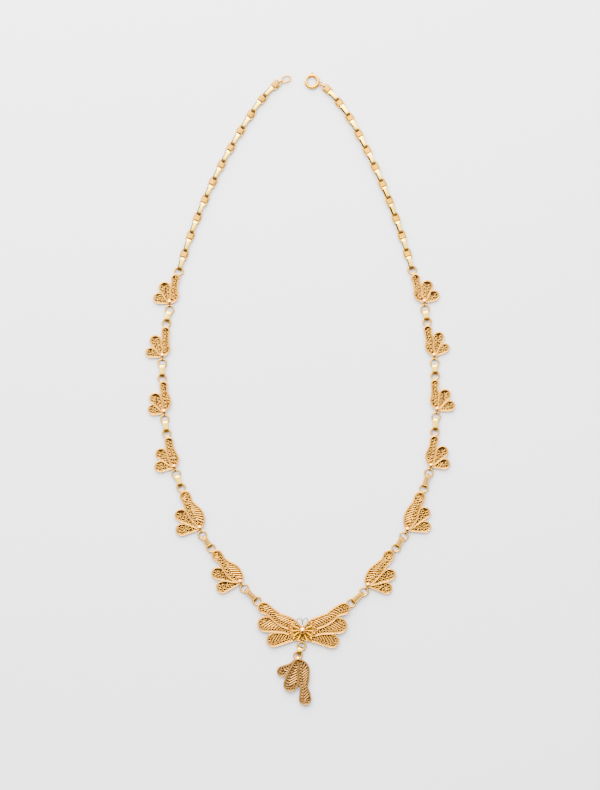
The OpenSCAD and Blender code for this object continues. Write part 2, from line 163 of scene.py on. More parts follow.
def patina_and_shade_group() -> bpy.types.NodeTree:
    """Builds the node group for old gold, bright on top and brown in its depths, which is patina and painted
    shade.

    Returns:
        The group, with colour, roughness and normal outputs.
    """
    cloud_span = (0.32, 0.62)
    dulling = 0.22
    pit_grain = 4200.0
    pit_depth = 0.00003
    tree = bpy.data.node_groups.new(PATINA_AND_SHADE, "ShaderNodeTree")
    sockets = [(name, "INPUT", "Color") for name in PATINA_AND_SHADE_COLOURS]
    sockets += [(name, "INPUT", "Float") for name in PATINA_AND_SHADE_VALUES]
    results = {"Color": "Color", "Roughness": "Float", "Normal": "Vector"}
    sockets += [(name, "OUTPUT", kind) for name, kind in results.items()]
    for name, way, kind in sockets:
        tree.interface.new_socket(name=name, in_out=way, socket_type=f"NodeSocket{kind}")
    given = add_node(tree, "NodeGroupInput", {}).outputs
    place = add_node(tree, "ShaderNodeTexCoord", {}).outputs["Object"]
    height = add_node(tree, "ShaderNodeSeparateXYZ", {0: place}).outputs["Z"]
    # Patina and painted shade: the colour runs from deep to bright as the height rises.
    lift = ramp(tree, height, given["Low"], given["High"])
    cloud = add_node(tree, "ShaderNodeTexNoise", {"Vector": place, "Scale": given["Grain"], "Detail": 3.0})
    tone = ramp(tree, cloud.outputs["Fac"], *cloud_span, eased=False)
    rubbed = reckon(tree, "MULTIPLY", given["Wear"], reckon(tree, "SUBTRACT", 1.0, tone))
    amount = reckon(tree, "MULTIPLY", lift, reckon(tree, "SUBTRACT", 1.0, rubbed))
    blend = {0: amount, 6: given["Deep"], 7: given["Bright"]}
    mix = add_node(tree, "ShaderNodeMix", blend, data_type="RGBA")
    dull = reckon(tree, "MULTIPLY", reckon(tree, "SUBTRACT", 1.0, amount), dulling)
    rough = reckon(tree, "ADD", given["Roughness"], dull)
    pits = add_node(tree, "ShaderNodeTexNoise", {"Vector": place, "Scale": pit_grain, "Detail": 2.0})
    relief = {"Strength": given["Relief"], "Distance": pit_depth, "Height": pits.outputs["Fac"]}
    bump = add_node(tree, "ShaderNodeBump", relief)
    made = {"Color": mix.outputs[2], "Roughness": rough, "Normal": bump.outputs[0]}
    add_node(tree, "NodeGroupOutput", made)
    return tree


@dataclass(frozen=True)
class Gold:
    """A metal finish: its bright and deep colours, and the heights in metres between them; the deep colour
    low down is patina and painted shade.
    """

    name: str
    bright: Colour
    deep: Colour
    low: float = 0.0
    high: float = 0.0012
    grain: float = 620.0
    wear: float = 0.35
    roughness: float = 0.24
    relief: float = 0.5

    def material(self) -> bpy.types.Material:
        """Gives the finish's material, made on its first use."""
        return bpy.data.materials.get(self.name) or self._make()

    def _make(self) -> bpy.types.Material:
        """Builds the material round the group for patina and painted shade.

        Returns:
            The material.
        """
        made = bpy.data.materials.new(self.name)
        made.use_nodes = True
        made.diffuse_color = (*self.bright, 1.0)
        inputs = {name: (*getattr(self, name.lower()), 1.0) for name in PATINA_AND_SHADE_COLOURS}
        inputs |= {name: getattr(self, name.lower()) for name in PATINA_AND_SHADE_VALUES}
        patina = bpy.data.node_groups.get(PATINA_AND_SHADE) or patina_and_shade_group()
        group = add_node(made.node_tree, "ShaderNodeGroup", inputs, node_tree=patina)
        shader = made.node_tree.nodes["Principled BSDF"]
        shader.inputs["Metallic"].default_value = 1.0
        shader.inputs["Specular Tint"].default_value = (*self.bright, 1.0)
        for name, socket in (("Color", "Base Color"), ("Roughness", "Roughness"), ("Normal", "Normal")):
            made.node_tree.links.new(group.outputs[name], shader.inputs[socket])
        return made


RIM_GOLD = Gold("rim_wire_gold", (0.98, 0.5, 0.055), (0.24, 0.12, 0.03), 0.0004, wear=0.25)
SCROLL_GOLD = Gold(
    "scroll_wire_gold", (0.9, 0.46, 0.055), (0.2, 0.1, 0.025), 0.0004, 0.00086, roughness=0.28
)
# Darker gold for floors and inner walls: patina, and painted shade for the deep openings between the wires.
FIELD_GOLD = Gold("field_gold", (0.22, 0.112, 0.034), (0.1, 0.05, 0.016), 0.0003, wear=0.5, roughness=0.5)
# Painted shade: dark gold laid in the filling where a rim keeps the light off.
SHADE_GOLD = Gold("painted_shade_gold", (0.09, 0.047, 0.016), (0.055, 0.028, 0.009), 0.0003, roughness=0.6)
# Painted shade: near-black gold in the eyelets' holes, under the drop's rims and along the strip loops' left
# edge.
DEEP_SHADE_GOLD = Gold("painted_deep_shade_gold", (0.018, 0.01, 0.004), (0.012, 0.006, 0.002), 0.0003, roughness=0.6)
BEAD_GOLD = Gold(
    "bead_gold", (1.0, 0.58, 0.14), (0.3, 0.14, 0.04), 0.0005, wear=0.1, roughness=0.1, relief=0.2
)
STRIP_GOLD = Gold(
    "strip_gold", (1.0, 0.64, 0.06), (0.14, 0.065, 0.012), 0.0006, 0.0014, wear=0.15, roughness=0.2
)
LINK_GOLD = Gold("link_wire_gold", (0.88, 0.45, 0.01), (0.2, 0.09, 0.012), 0.0003, wear=0.3, roughness=0.22)
COLLAR_GOLD = Gold("collar_gold", (0.66, 0.33, 0.004), (0.25, 0.1, 0.01), 0.0006, 0.0014, wear=0.2)
RING_GOLD = Gold("jump_ring_gold", (0.88, 0.46, 0.02), (0.16, 0.075, 0.012), 0.0006)
# Painted shade: dark gold for link ends, the insides of rings and the eyelet under each bead.
SHADED_END_GOLD = Gold("painted_shade_end_gold", (0.24, 0.135, 0.035), (0.12, 0.06, 0.015), 0.0003, wear=0.4, roughness=0.45)
PETAL_GOLD = Gold(
    "petal_gold", (0.85, 0.45, 0.018), (0.3, 0.13, 0.01), 0.0011, 0.0016, wear=0.15, roughness=0.16
)
# Painted shade: dark gold for the gaps between the rosette's ridges and the plates under it.
AMBER_GOLD = Gold(
    "amber_gold", (0.15, 0.07, 0.006), (0.08, 0.035, 0.003), 0.001, 0.0016, wear=0.2, roughness=0.3
)
ANTENNA_METAL = Gold("antenna_metal", (0.3, 0.22, 0.12), (0.1, 0.07, 0.04), 0.0009, 0.0015, wear=0.4)


@dataclass(frozen=True)
class FiligreeMetal:
    """The finishes of one piece of filigree."""

    rim: Gold = RIM_GOLD
    scroll: Gold = SCROLL_GOLD
    field: Gold = FIELD_GOLD
    # Painted shadow along the rims that keep the light off the filling.
    shade: Gold = SHADE_GOLD
    # Painted shade in each eyelet's hole.
    hole: Gold = DEEP_SHADE_GOLD


# The plaques' finishes: brighter scroll wire, a lighter field of patina and painted shade, and a browner
# painted shade.
PLAQUE_METAL = FiligreeMetal(
    scroll=Gold(
        "plaque_scroll_gold", (0.95, 0.5, 0.055), (0.2, 0.1, 0.025), 0.0004, 0.00086, roughness=0.22
    ),
    field=Gold("plaque_field_gold", (0.3, 0.15, 0.035), (0.1, 0.05, 0.016), 0.0003, wear=0.5, roughness=0.5),
    shade=Gold("plaque_shade_gold", (0.16, 0.086, 0.026), (0.08, 0.042, 0.013), 0.0003, roughness=0.6),
)
# Dimmed copies of the finishes for the drop and the framed links low on the necklace: painted shade, as the
# light falls off towards the bottom.
DIMMED_METAL = FiligreeMetal(
    rim=Gold("dimmed_rim_gold", (0.46, 0.24, 0.055), (0.14, 0.07, 0.02), 0.0004, 0.0013, roughness=0.32),
    scroll=Gold(
        "dimmed_scroll_gold", (0.62, 0.33, 0.09), (0.12, 0.058, 0.018), 0.0004, 0.00086, roughness=0.34
    ),
    field=Gold("dimmed_field_gold", (0.2, 0.1, 0.036), (0.09, 0.045, 0.015), 0.0003, wear=0.5, roughness=0.5),
    shade=DEEP_SHADE_GOLD,
)


# Plane shapes


def raised(p: Sequence[float], z: float) -> Vector:
    """Gives a plane point a height."""
    return Vector((p[0], p[1], z))


def lifted(points: Iterable[Sequence[float]], z: float) -> list[Vector]:
    """Gives plane points a height."""
    return [raised(p, z) for p in points]


def polar(radius: float, degrees: float) -> Vector:
    """Gives a plane vector of a length and heading."""
    return Vector((radius * math.cos(math.radians(degrees)), radius * math.sin(math.radians(degrees))))


def bearing(a: Sequence[float], b: Sequence[float]) -> float:
    """Gives the heading from one point to another, in degrees."""
    return math.degrees(math.atan2(b[1] - a[1], b[0] - a[0]))


def apart(a: Sequence[float], b: Sequence[float]) -> float:
    """Gives the distance between two points, seen from above."""
    return math.hypot(a[0] - b[0], a[1] - b[1])


def turned(at: Vector, heading: float) -> Matrix:
    """Gives the place of a piece that stands at a point and is turned to a heading."""
    return Matrix.Translation(at) @ Matrix.Rotation(math.radians(heading), 4, "Z")


def smooth(rows: Sequence[Row], steps: int) -> list[Vector]:
    """Runs a smooth curve through rows of x, y and radius.

    Args:
        rows: the rows of the table.
        steps: stations between two rows.

    Returns:
        The stations, as vectors of x, y and radius.
    """
    knots = [Vector(row) for row in rows]
    ends = [knots[0], *knots, knots[-1]]
    stations = []
    for a, b, c, d in zip(ends, ends[1:], ends[2:], ends[3:]):
        for k in range(steps):
            t = k / steps
            square = (2 * a - 5 * b + 4 * c - d) * t * t
            cube = (3 * b - a - 3 * c + d) * t * t * t
            stations.append(0.5 * (2 * b + (c - a) * t + square + cube))
    return [*stations, knots[-1]]


def resample(points: Sequence[Vector], step: float, closed: bool) -> list[Vector]:
    """Sets points at an even pitch along a line.

    Args:
        points: the corners of the line.
        step: the wanted pitch, which is fitted to the line's length.
        closed: whether the line runs back to its start.

    Returns:
        The new points.
    """
    line = [*points, points[0]] if closed else list(points)
    total = sum((b - a).length for a, b in zip(line, line[1:]))
    count = max(2, round(total / step))
    pitch = total / count
    made = [line[0].copy()]
    walked = 0.0
    for a, b in zip(line, line[1:]):
        length = (b - a).length
        while length > 0 and len(made) * pitch <= walked + length + 1e-6 and len(made) <= count:
            made.append(a.lerp(b, min(1.0, (len(made) * pitch - walked) / length)))
        walked += length
    return made[:count] if closed else made


def rounded_box(length: float, width: float, radius: float, steps: int = 5) -> list[Vector]:
    """Gives the corners of a rounded rectangle about the origin.

    Args:
        length: its size along X.
        width: its size along Y.
        radius: the radius of its corners.
        steps: how many sides a rounded corner has.

    Returns:
        The points of its edge.
    """
    points = []
    for sx, sy, turn in ((1, 1, 0), (-1, 1, 90), (-1, -1, 180), (1, -1, 270)):
        centre = Vector((sx * (length / 2 - radius), sy * (width / 2 - radius)))
        points += [centre + polar(radius, turn + 90 * k / steps) for k in range(steps + 1)]
    return points


def long_oval(length: float, height: float, bend: float, steps: int = 10) -> list[Vector]:
    """Gives the profile of a strip loop whose ends bend down.

    Args:
        length: its size along X.
        height: its size along Y.
        bend: how far from an end the bend starts.
        steps: how many sides a bent end has.

    Returns:
        The points of its edge.
    """
    points = []
    for side in (1, -1):
        for k in range(steps + 1):
            p = polar(1.0, 90 - 180 * k / steps)
            points.append(Vector((side * (length / 2 - bend + bend * p[0]), side * height / 2 * p[1])))
    return points


def circle(centre: Vector, radius: float, steps: int = 12) -> list[Vector]:
    """Gives points on a circle."""
    return [centre + polar(radius, 360 * k / steps) for k in range(steps)]


def spiral(centre: Vector, radius: float, start: float, turns: float, hand: float) -> list[Vector]:
    """Gives a scroll that winds in from a radius to its eye.

    Args:
        centre: the middle of the eye.
        radius: the scroll's outer radius.
        start: the heading of its outer end.
        turns: how often it goes round.
        hand: 1 to wind in to the left, and -1 to the right.

    Returns:
        The points of the scroll.
    """
    count = max(8, round(14 * turns))
    shrink = 0.78
    return [
        centre + polar(radius * (1 - shrink * k / count), start + hand * 360 * turns * k / count)
        for k in range(count + 1)
    ]


# Bench


def spline_curve(runs: Iterable[Run], dimensions: str) -> bpy.types.Curve:
    """Lays lines in a new curve.

    Args:
        runs: the lines, each with whether it is closed.
        dimensions: 3D for wires, and 2D for the edges of a plate.

    Returns:
        The curve.
    """
    curve = bpy.data.curves.new("lines", "CURVE")
    curve.dimensions = dimensions
    for points, closed in runs:
        spline = curve.splines.new("POLY")
        spline.points.add(len(points) - 1)
        for target, p in zip(spline.points, points):
            target.co = (*p, 1.0)
        spline.use_cyclic_u = closed
    return curve


def to_mesh(curve: bpy.types.Curve) -> bpy.types.Mesh:
    """Turns a curve into a mesh and removes the curve.

    Args:
        curve: the curve, which is used up.

    Returns:
        The mesh.
    """
    holder = bpy.data.objects.new("holder", curve)
    bpy.context.scene.collection.objects.link(holder)
    graph = bpy.context.evaluated_depsgraph_get()
    mesh = bpy.data.meshes.new_from_object(holder.evaluated_get(graph))
    bpy.data.objects.remove(holder)
    bpy.data.curves.remove(curve)
    return mesh


def swept(runs: Iterable[Run], radius: float, rise: float = 0.0, sides: int = 1) -> bpy.types.Mesh:
    """Sweeps a round or upright flat section along lines.

    Args:
        runs: the lines, each with whether it is closed.
        radius: half of the section's thickness.
        rise: half of the height that the section adds along its flat.
        sides: how finely the section is rounded.

    Returns:
        One mesh with every line.
    """
    curve = spline_curve(runs, "3D")
    curve.twist_mode = "Z_UP" if rise else "MINIMUM"
    curve.bevel_depth = radius
    curve.bevel_resolution = sides
    curve.extrude = rise
    curve.use_fill_caps = True
    return to_mesh(curve)


def hoop(outline: Iterable[Vector], radius: float, rise: float = 0.0, sides: int = 1) -> bpy.types.Mesh:
    """Sweeps a section along one closed plane line."""
    return swept([(lifted(outline, 0.0), True)], radius, rise, sides)


def plate(
    outline: Sequence[Vector], low: float, high: float, holes: Iterable[Sequence[Vector]] = ()
) -> bpy.types.Mesh:
    """Makes a flat plate, with or without holes.

    Args:
        outline: the plate's edge.
        low: the height of its underside.
        high: the height of its top.
        holes: the edges of its holes.

    Returns:
        The plate's mesh.
    """
    curve = spline_curve([(lifted(points, 0.0), True) for points in (outline, *holes)], "2D")
    curve.fill_mode = "BOTH"
    curve.extrude = (high - low) / 2
    mesh = to_mesh(curve)
    mesh.transform(Matrix.Translation((0, 0, (high + low) / 2)))
    return mesh


class Bench:
    """Gathers the wires, plates and grains of one piece, in millimetres."""

    MERGE = 0.0005
    SHARP_DEGREES = 48
    RING_STEPS = 40
    EYELET_RADIUS = 0.56
    EYELET_WIRE = 0.2

    def __init__(self) -> None:
        """Starts an empty piece."""
        self.bm = bmesh.new()
        self.finishes: list[Gold] = []
        self.runs: dict[tuple[Gold, float, float, int], list[Run]] = {}

    def _index(self, finish: Gold) -> int:
        """Gives the material index of a finish.

        Args:
            finish: the finish, which is added if it is new.

        Returns:
            Its index.
        """
        if finish not in self.finishes:
            self.finishes.append(finish)
        return self.finishes.index(finish)

    def lay(self, mesh: bpy.types.Mesh, finish: Gold, matrix: Matrix = Matrix.Identity(4)) -> None:
        """Adds a mesh that is used this once.

        Args:
            mesh: the mesh, which is used up.
            finish: its finish.
            matrix: its place.
        """
        mesh.transform(matrix)
        mesh.polygons.foreach_set("material_index", [self._index(finish)] * len(mesh.polygons))
        self.bm.from_mesh(mesh)
        bpy.data.meshes.remove(mesh)

    def stamp(self, mesh: bpy.types.Mesh, finish: Gold, matrix: Matrix) -> None:
        """Adds a copy of a mesh that is used again."""
        self.lay(mesh.copy(), finish, matrix)

    def wire(
        self,
        finish: Gold,
        points: list[Vector],
        radius: float,
        closed: bool = False,
        rise: float = 0.0,
        sides: int = 1,
    ) -> None:
        """Lays a wire, or an upright strip where it has a rise."""
        if len(points) > 1:
            self.runs.setdefault((finish, radius, rise, sides), []).append((points, closed))

    def wall(
        self, finish: Gold, points: Sequence[Vector], thickness: float, high: float, closed: bool
    ) -> None:
        """Stands a strip on the surface along a plane line, up to a height."""
        radius = thickness / 2
        self.wire(finish, lifted(points, high / 2), radius, closed, high / 2 - radius)

    def ball(
        self, finish: Gold, centre: Vector, radius: float, squash: float = 1.0, steps: int = 24
    ) -> None:
        """Sets a grain.

        Args:
            finish: its finish.
            centre: its middle.
            radius: its radius.
            squash: its height as a share of its width.
            steps: how many sides it has round its middle.
        """
        name = f"grain_{steps}"
        mesh = bpy.data.meshes.get(name)
        if mesh is None:
            mesh = bpy.data.meshes.new(name)
            round_form = bmesh.new()
            bmesh.ops.create_uvsphere(round_form, u_segments=steps, v_segments=steps // 2, radius=1.0)
            round_form.to_mesh(mesh)
            round_form.free()
        size = Matrix.Diagonal((radius, radius, radius * squash, 1))
        self.stamp(mesh, finish, Matrix.Translation(centre) @ size)

    def ring(
        self, finish: Gold, place: Matrix, radius: float = RING_RADIUS, wire: float = RING_WIRE
    ) -> None:
        """Sets a round ring."""
        self.lay(hoop(circle(Vector((0, 0)), radius, self.RING_STEPS), wire, sides=3), finish, place)

    def flat_ring(self, at: Sequence[float]) -> None:
        """Sets a jump ring or a soldered ring, which lies flat."""
        self.ring(RING_GOLD, Matrix.Translation(raised(at, RING_Z)))

    def eyelet(self, p: Vector, heading: float) -> None:
        """Sets the upright eyelet under a bead, in the dark gold of painted shade."""
        place = turned(raised(p, RING_Z), heading) @ UPRIGHT
        self.ring(SHADED_END_GOLD, place, self.EYELET_RADIUS, self.EYELET_WIRE)

    def deliver(self, name: str, slot: Slot, nodes: Sequence[str]) -> None:
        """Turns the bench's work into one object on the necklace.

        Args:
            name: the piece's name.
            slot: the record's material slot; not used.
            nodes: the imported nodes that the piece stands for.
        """
        for (finish, radius, rise, sides), runs in self.runs.items():
            self.lay(swept(runs, radius, rise, sides), finish)
        bmesh.ops.remove_doubles(self.bm, verts=self.bm.verts, dist=self.MERGE)
        bmesh.ops.recalc_face_normals(self.bm, faces=self.bm.faces)
        to_frame = Matrix.Scale(MM, 4) @ Matrix.Translation(SHIFT)
        bmesh.ops.transform(self.bm, matrix=to_frame, verts=self.bm.verts)
        mesh = bpy.data.meshes.new(name)
        self.bm.to_mesh(mesh)
        self.bm.free()
        for finish in self.finishes:
            mesh.materials.append(finish.material())
        mesh.shade_smooth()
        mesh.set_sharp_from_angle(angle=math.radians(self.SHARP_DEGREES))
        piece = bpy.data.objects.new(name, mesh)
        bpy.context.scene.collection.objects.link(piece)
        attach(piece, "necklace")
        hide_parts(*nodes)
        LOG.info("%s: %d faces", name, len(mesh.polygons))


# Filigree lobes


def split_runs(points: Sequence[Vector], keep: Callable[[Vector], bool]) -> list[Run]:
    """Cuts a closed line where a test fails.

    Args:
        points: the closed line.
        keep: tells whether a point stays.

    Returns:
        The kept stretches, or the whole line as one closed run.
    """
    kept = [keep(p) for p in points]
    if all(kept):
        return [(list(points), True)]
    if not any(kept):
        return []
    start = kept.index(False)
    runs: list[Run] = []
    current: list[Vector] = []
    for k in range(len(points) + 1):
        i = (start + k) % len(points)
        if k < len(points) and kept[i]:
            current.append(points[i])
        elif current:
            runs.append((current, False))
            current = []
    return [run for run in runs if len(run[0]) > 1]


@dataclass
class Lobe:
    """One pierced cell: rows of x, y and radius from its tip to its foot."""

    rows: Sequence[Row]
    height: float
    rays: Side = Side.RIGHT
    fill_z: float = 0.74
    fill: Fill = Fill.RAYS
    rows_of_eyelets: int = 1
    chamber: Row | None = None
    floor_drop: float = 0.26
    highest_floor: float = 0.8
    eye: float = 0.3
    chamber_edge: float = 0.25
    steepest: float = 0.95
    stations: list[Vector] = field(init=False)

    def __post_init__(self) -> None:
        """Works out the stations of the middle line."""
        self.stations = smooth(self.rows, 8)

    def floor_top(self) -> float:
        """Gives the height of the floor under the filling."""
        return min(self.highest_floor, self.fill_z - self.floor_drop)

    def depth(self, p: Vector) -> float:
        """Tells how deep a point lies inside the lobe's edge."""
        return max(q[2] + RIM_OUT - apart(p, q) for q in self.stations)

    def out_from_tip(self, p: Vector) -> Vector:
        """Gives the direction from the middle of the lobe's round end.

        Args:
            p: where it is wanted.

        Returns:
            The direction, which is zero away from that end.
        """
        tip = self.stations[0]
        out = Vector((p[0] - tip[0], p[1] - tip[1]))
        return out.normalized() if self.eye < out.length < tip[2] + RIM_OUT else Vector((0.0, 0.0))

    def in_chamber(self, p: Vector) -> bool:
        """Tells whether a point lies in the round scroll at the lobe's end."""
        c = self.chamber
        return c is not None and apart(p, c) < c[2] + self.chamber_edge

    def _turn(self, i: int) -> tuple[float, float]:
        """Works out how the edge runs at a station.

        Args:
            i: the station's number.

        Returns:
            The middle line's heading, and how far the edge points lean from it.
        """
        a, b = self.stations[max(0, i - 1)], self.stations[min(len(self.stations) - 1, i + 1)]
        ratio = (a[2] - b[2]) / max(1e-6, apart(a, b))
        return bearing(a, b), math.degrees(math.acos(max(-self.steepest, min(self.steepest, ratio))))

    def _edge(self, i: int, inset: float, degrees: float) -> Vector:
        """Gives a point on the circle of a station."""
        q = self.stations[i]
        return Vector((q[0], q[1])) + polar(max(0.05, q[2] + RIM_OUT - inset), degrees)

    def outline(self, inset: float) -> list[Vector]:
        """Gives the lobe's closed edge.

        Args:
            inset: how far the edge is drawn in.

        Returns:
            The points of the edge.
        """
        last = len(self.stations) - 1
        turn, lean = self._turn(0)
        points = [self._edge(0, inset, turn + lean + (360 - 2 * lean) * k / 24) for k in range(25)]
        for i in range(1, last):
            turn, lean = self._turn(i)
            points.append(self._edge(i, inset, turn - lean))
        turn, lean = self._turn(last)
        points += [self._edge(last, inset, turn - lean + 2 * lean * k / 12) for k in range(13)]
        for i in range(last - 1, 0, -1):
            turn, lean = self._turn(i)
            points.append(self._edge(i, inset, turn + lean))
        return points

    def edge_runs(self, inset: float, step: float, keep: Callable[[Vector], bool]) -> list[Run]:
        """Gives the stretches of the drawn-in edge that pass a test, in even points."""
        return split_runs(resample(self.outline(inset), step, True), keep)

    def spine(self, step: float) -> list[Station]:
        """Sets even stations along the middle line.

        Args:
            step: the pitch.

        Returns:
            The place, the inner radius and the heading to the foot of each.
        """
        line = resample(self.stations, step, False)
        found = []
        for i, q in enumerate(line):
            a, b = line[max(0, i - 1)], line[min(len(line) - 1, i + 1)]
            found.append((Vector((q[0], q[1])), q[2] + RIM_OUT - RIM_WIDTH, bearing(a, b)))
        return found

    def across(self, step: float) -> list[Vector]:
        """Gives even points over the whole lobe, row by row from its round end."""
        shares = [k / 10 for k in range(-10, 11)]
        return [p + polar(share * r, heading + 90) for p, r, heading in self.spine(step) for share in shares]


@dataclass(frozen=True)
class Shade:
    """Offsets towards the light, over which a lobe's own rim, a cover's and a round end throw shade.

    The crescent in the round end is no deeper than a share of its offset, and thins out by its slope.
    """

    own: Vector
    cover: Vector
    crescent: Vector
    depth: float = 0.8
    slope: float = 1.5


@dataclass
class Filigree:
    """Lobes with raised double-wire rims, laid over each other in order."""

    lobes: Sequence[Lobe]
    shade: Shade
    keep_out: Sequence[Row] = ()
    low_circle: Row | None = None
    low_height: float = 1.05
    low_filling: float = 0.68
    low_slope: float = 1.2
    metal: FiligreeMetal = FiligreeMetal()
    eyelet_radius: float = 0.43
    eyelet_wire: float = 0.095
    eyelet_pitch: float = 1.0
    eyelet_row: float = 0.9
    hole: float = 0.13
    hole_wire: float = 0.14
    ray_wire: float = 0.24
    ray_rise: float = 0.06
    ray_pitch: float = 1.0
    ray_lean: float = 0.85
    ray_bend: float = 0.22
    ray_past: float = 0.2
    ray_stop: float = 0.5
    ray_gap: float = 0.28
    ray_steps: int = 32
    chamber_wire: float = 0.15
    scroll_wire: float = 0.14
    rise: float = 0.14
    rim_wire: float = 0.14
    rim_insets: Point = (0.14, 0.41)
    rim_step: float = 0.26
    wall: float = 0.4
    wall_drop: float = 0.15
    wall_step: float = 0.3
    overlap: float = 0.3
    floor_inset: float = 0.2
    shade_wire: float = 0.15
    shade_step: float = 0.2
    chamber_shade: float = 0.17
    own_strips: Sequence[float] = tuple(RIM_WIDTH + 0.1 + 0.22 * k for k in range(4))
    cover_strips: Sequence[float] = (-0.12, -0.36)

    def build(self, bench: Bench) -> None:
        """Lays every lobe on the bench."""
        for i, lobe in enumerate(self.lobes):
            Cell(self, bench, lobe, self.lobes[:i]).build()


@dataclass
class Cell:
    """The rim and the filling of one lobe, cut where covers lie over it."""

    sizes: Filigree
    bench: Bench
    lobe: Lobe
    covers: Sequence[Lobe]
    holes: list[Vector] = field(default_factory=list)

    def build(self) -> None:
        """Lays the lobe on the bench, from its rim to its rays."""
        self._rim()
        self._eyelets()
        self._floor()
        if self.lobe.chamber:
            self._chamber()
        self._rays()

    def _low(self, p: Vector) -> bool:
        """Tells whether a point lies under the piece that stands on the lobes."""
        c = self.sizes.low_circle
        return c is not None and apart(p, c) < c[2]

    def _level(self, points: Sequence[Vector], z: float) -> list[Vector]:
        """Lifts points, but less so towards the piece that stands on the lobes.

        Args:
            points: the plane points.
            z: the full height.

        Returns:
            The lifted points.
        """
        c, low = self.sizes.low_circle, self.sizes.low_filling
        if c is None:
            return lifted(points, z)
        found = []
        for p in points:
            share = min(1.0, max(0.0, (apart(p, c) - c[2]) / self.sizes.low_slope))
            found.append(raised(p, min(z, low + (z - low) * share)))
        return found

    def _free(self, p: Vector, depth: float) -> bool:
        """Tells whether a point is clear of the bead, and less than a depth inside every cover."""
        clear = all(apart(p, k) > k[2] for k in self.sizes.keep_out)
        return clear and all(c.depth(p) < depth for c in self.covers)

    def _dark(self, p: Vector) -> bool:
        """Tells whether a point lies in deep shade.

        Args:
            p: the point.

        Returns:
            Whether it is in the crescent of the round end or beside a cover's rim.
        """
        shade = self.sizes.shade
        here = Vector((p[0], p[1]))
        lift = self.lobe.out_from_tip(here).dot(shade.crescent)
        width = min(shade.depth * shade.crescent.length, shade.slope * lift)
        crescent = self.lobe.depth(here) < RIM_WIDTH + width
        return crescent or any(c.depth(here + shade.cover) > 0.0 for c in self.covers)

    def _shaded(self, p: Vector) -> bool:
        """Tells whether a rim stands between a point and the window."""
        own = self.lobe.depth(Vector((p[0], p[1])) + self.sizes.shade.own) < RIM_WIDTH
        return own or self._dark(p)

    def _rim(self) -> None:
        """Raises a wall with two wires along its top, cut where the covers lie over it."""
        sizes = self.sizes
        for low in (False, True):
            height = min(self.lobe.height, sizes.low_height) if low else self.lobe.height

            def keep(p: Vector) -> bool:
                """Tells whether the rim has this height at a point, and is bare there."""
                return self._low(p) == low and all(c.depth(p) < sizes.overlap for c in self.covers)

            for points, closed in self.lobe.edge_runs(RIM_WIDTH / 2, sizes.wall_step, keep):
                # The inner wall is in the field gold, partly painted shade.
                self.bench.wall(sizes.metal.field, points, sizes.wall, height - sizes.wall_drop, closed)
            for inset in sizes.rim_insets:
                for points, closed in self.lobe.edge_runs(inset, sizes.rim_step, keep):
                    line = lifted(points, height - sizes.rim_wire)
                    self.bench.wire(sizes.metal.rim, line, sizes.rim_wire, closed, sides=2)

    def _floor(self) -> None:
        """Lays the plate under the filling, pierced in each eyelet, with painted shade round each hole and
        along the rims that keep the light off.
        """
        sizes, top = self.sizes, self.lobe.floor_top()
        holes = [circle(p, sizes.hole, 8) for p in self.holes]
        outline = self.lobe.outline(sizes.floor_inset)
        self.bench.lay(plate(outline, FLOOR_Z, top, holes), sizes.metal.field)
        # Painted shade: a dark ring round each hole, for the shade deep in the eyelet.
        for p in self.holes:
            edge = self._level(circle(p, sizes.hole_wire + 0.1, 8), top)
            self.bench.wire(sizes.metal.hole, edge, sizes.hole_wire, True)

        def keep(p: Vector) -> bool:
            """Tells whether a point lies in the filling and in the shade."""
            inside = self.lobe.depth(p) > RIM_WIDTH - 0.1 and self._free(p, 0.1)
            return inside and self._shaded(p)

        # Painted shadow: dark strips along the rims, kept only where a rim keeps the light off the filling.
        for edge in (self.lobe, *self.covers):
            for inset in sizes.own_strips if edge is self.lobe else sizes.cover_strips:
                for points, closed in edge.edge_runs(inset, sizes.shade_step, keep):
                    self.bench.wire(sizes.metal.shade, self._level(points, top), sizes.shade_wire, closed)

    def _eyelets(self) -> None:
        """Sets small round eyelets in rows inside the rim, or all over the lobe."""
        lobe, sizes = self.lobe, self.sizes
        all_over = lobe.fill is Fill.EYELETS
        dots = -lobe.rays.value
        tip, tip_r, tip_heading = lobe.spine(0.4)[0]
        for row in range(lobe.rows_of_eyelets):
            inset = sizes.eyelet_radius + sizes.eyelet_wire + row * sizes.eyelet_row

            def flank(hand: float) -> list[Vector]:
                """Gives the row's line along one side of the lobe."""
                line = [(p, r, heading) for p, r, heading in lobe.spine(0.2) if r > inset - 0.1]
                return [p + polar(max(0.0, r - inset), heading + hand * 90) for p, r, heading in line]

            reach = max(0.0, tip_r - inset)
            sweep = 180 if all_over or row == 0 else 60
            cap = [tip + polar(reach, tip_heading + dots * (90 + sweep * k / 12)) for k in range(13)]
            spots = resample([*reversed(flank(dots)), *cap, *(flank(-dots) if all_over else [])], 0.1, False)
            for p in [*spots, *(lobe.across(0.2) if all_over else [])]:
                near = any((p - q).length < sizes.eyelet_pitch - 0.02 for q in self.holes)
                edge = lobe.depth(p) < RIM_WIDTH + sizes.eyelet_radius
                if not near and not edge and self._free(p, -0.2) and not self._dark(p):
                    self.holes.append(p)
        for p in self.holes:
            points = self._level(circle(p, sizes.eyelet_radius), lobe.fill_z)
            self.bench.wire(sizes.metal.scroll, points, sizes.eyelet_wire, True, sizes.rise)

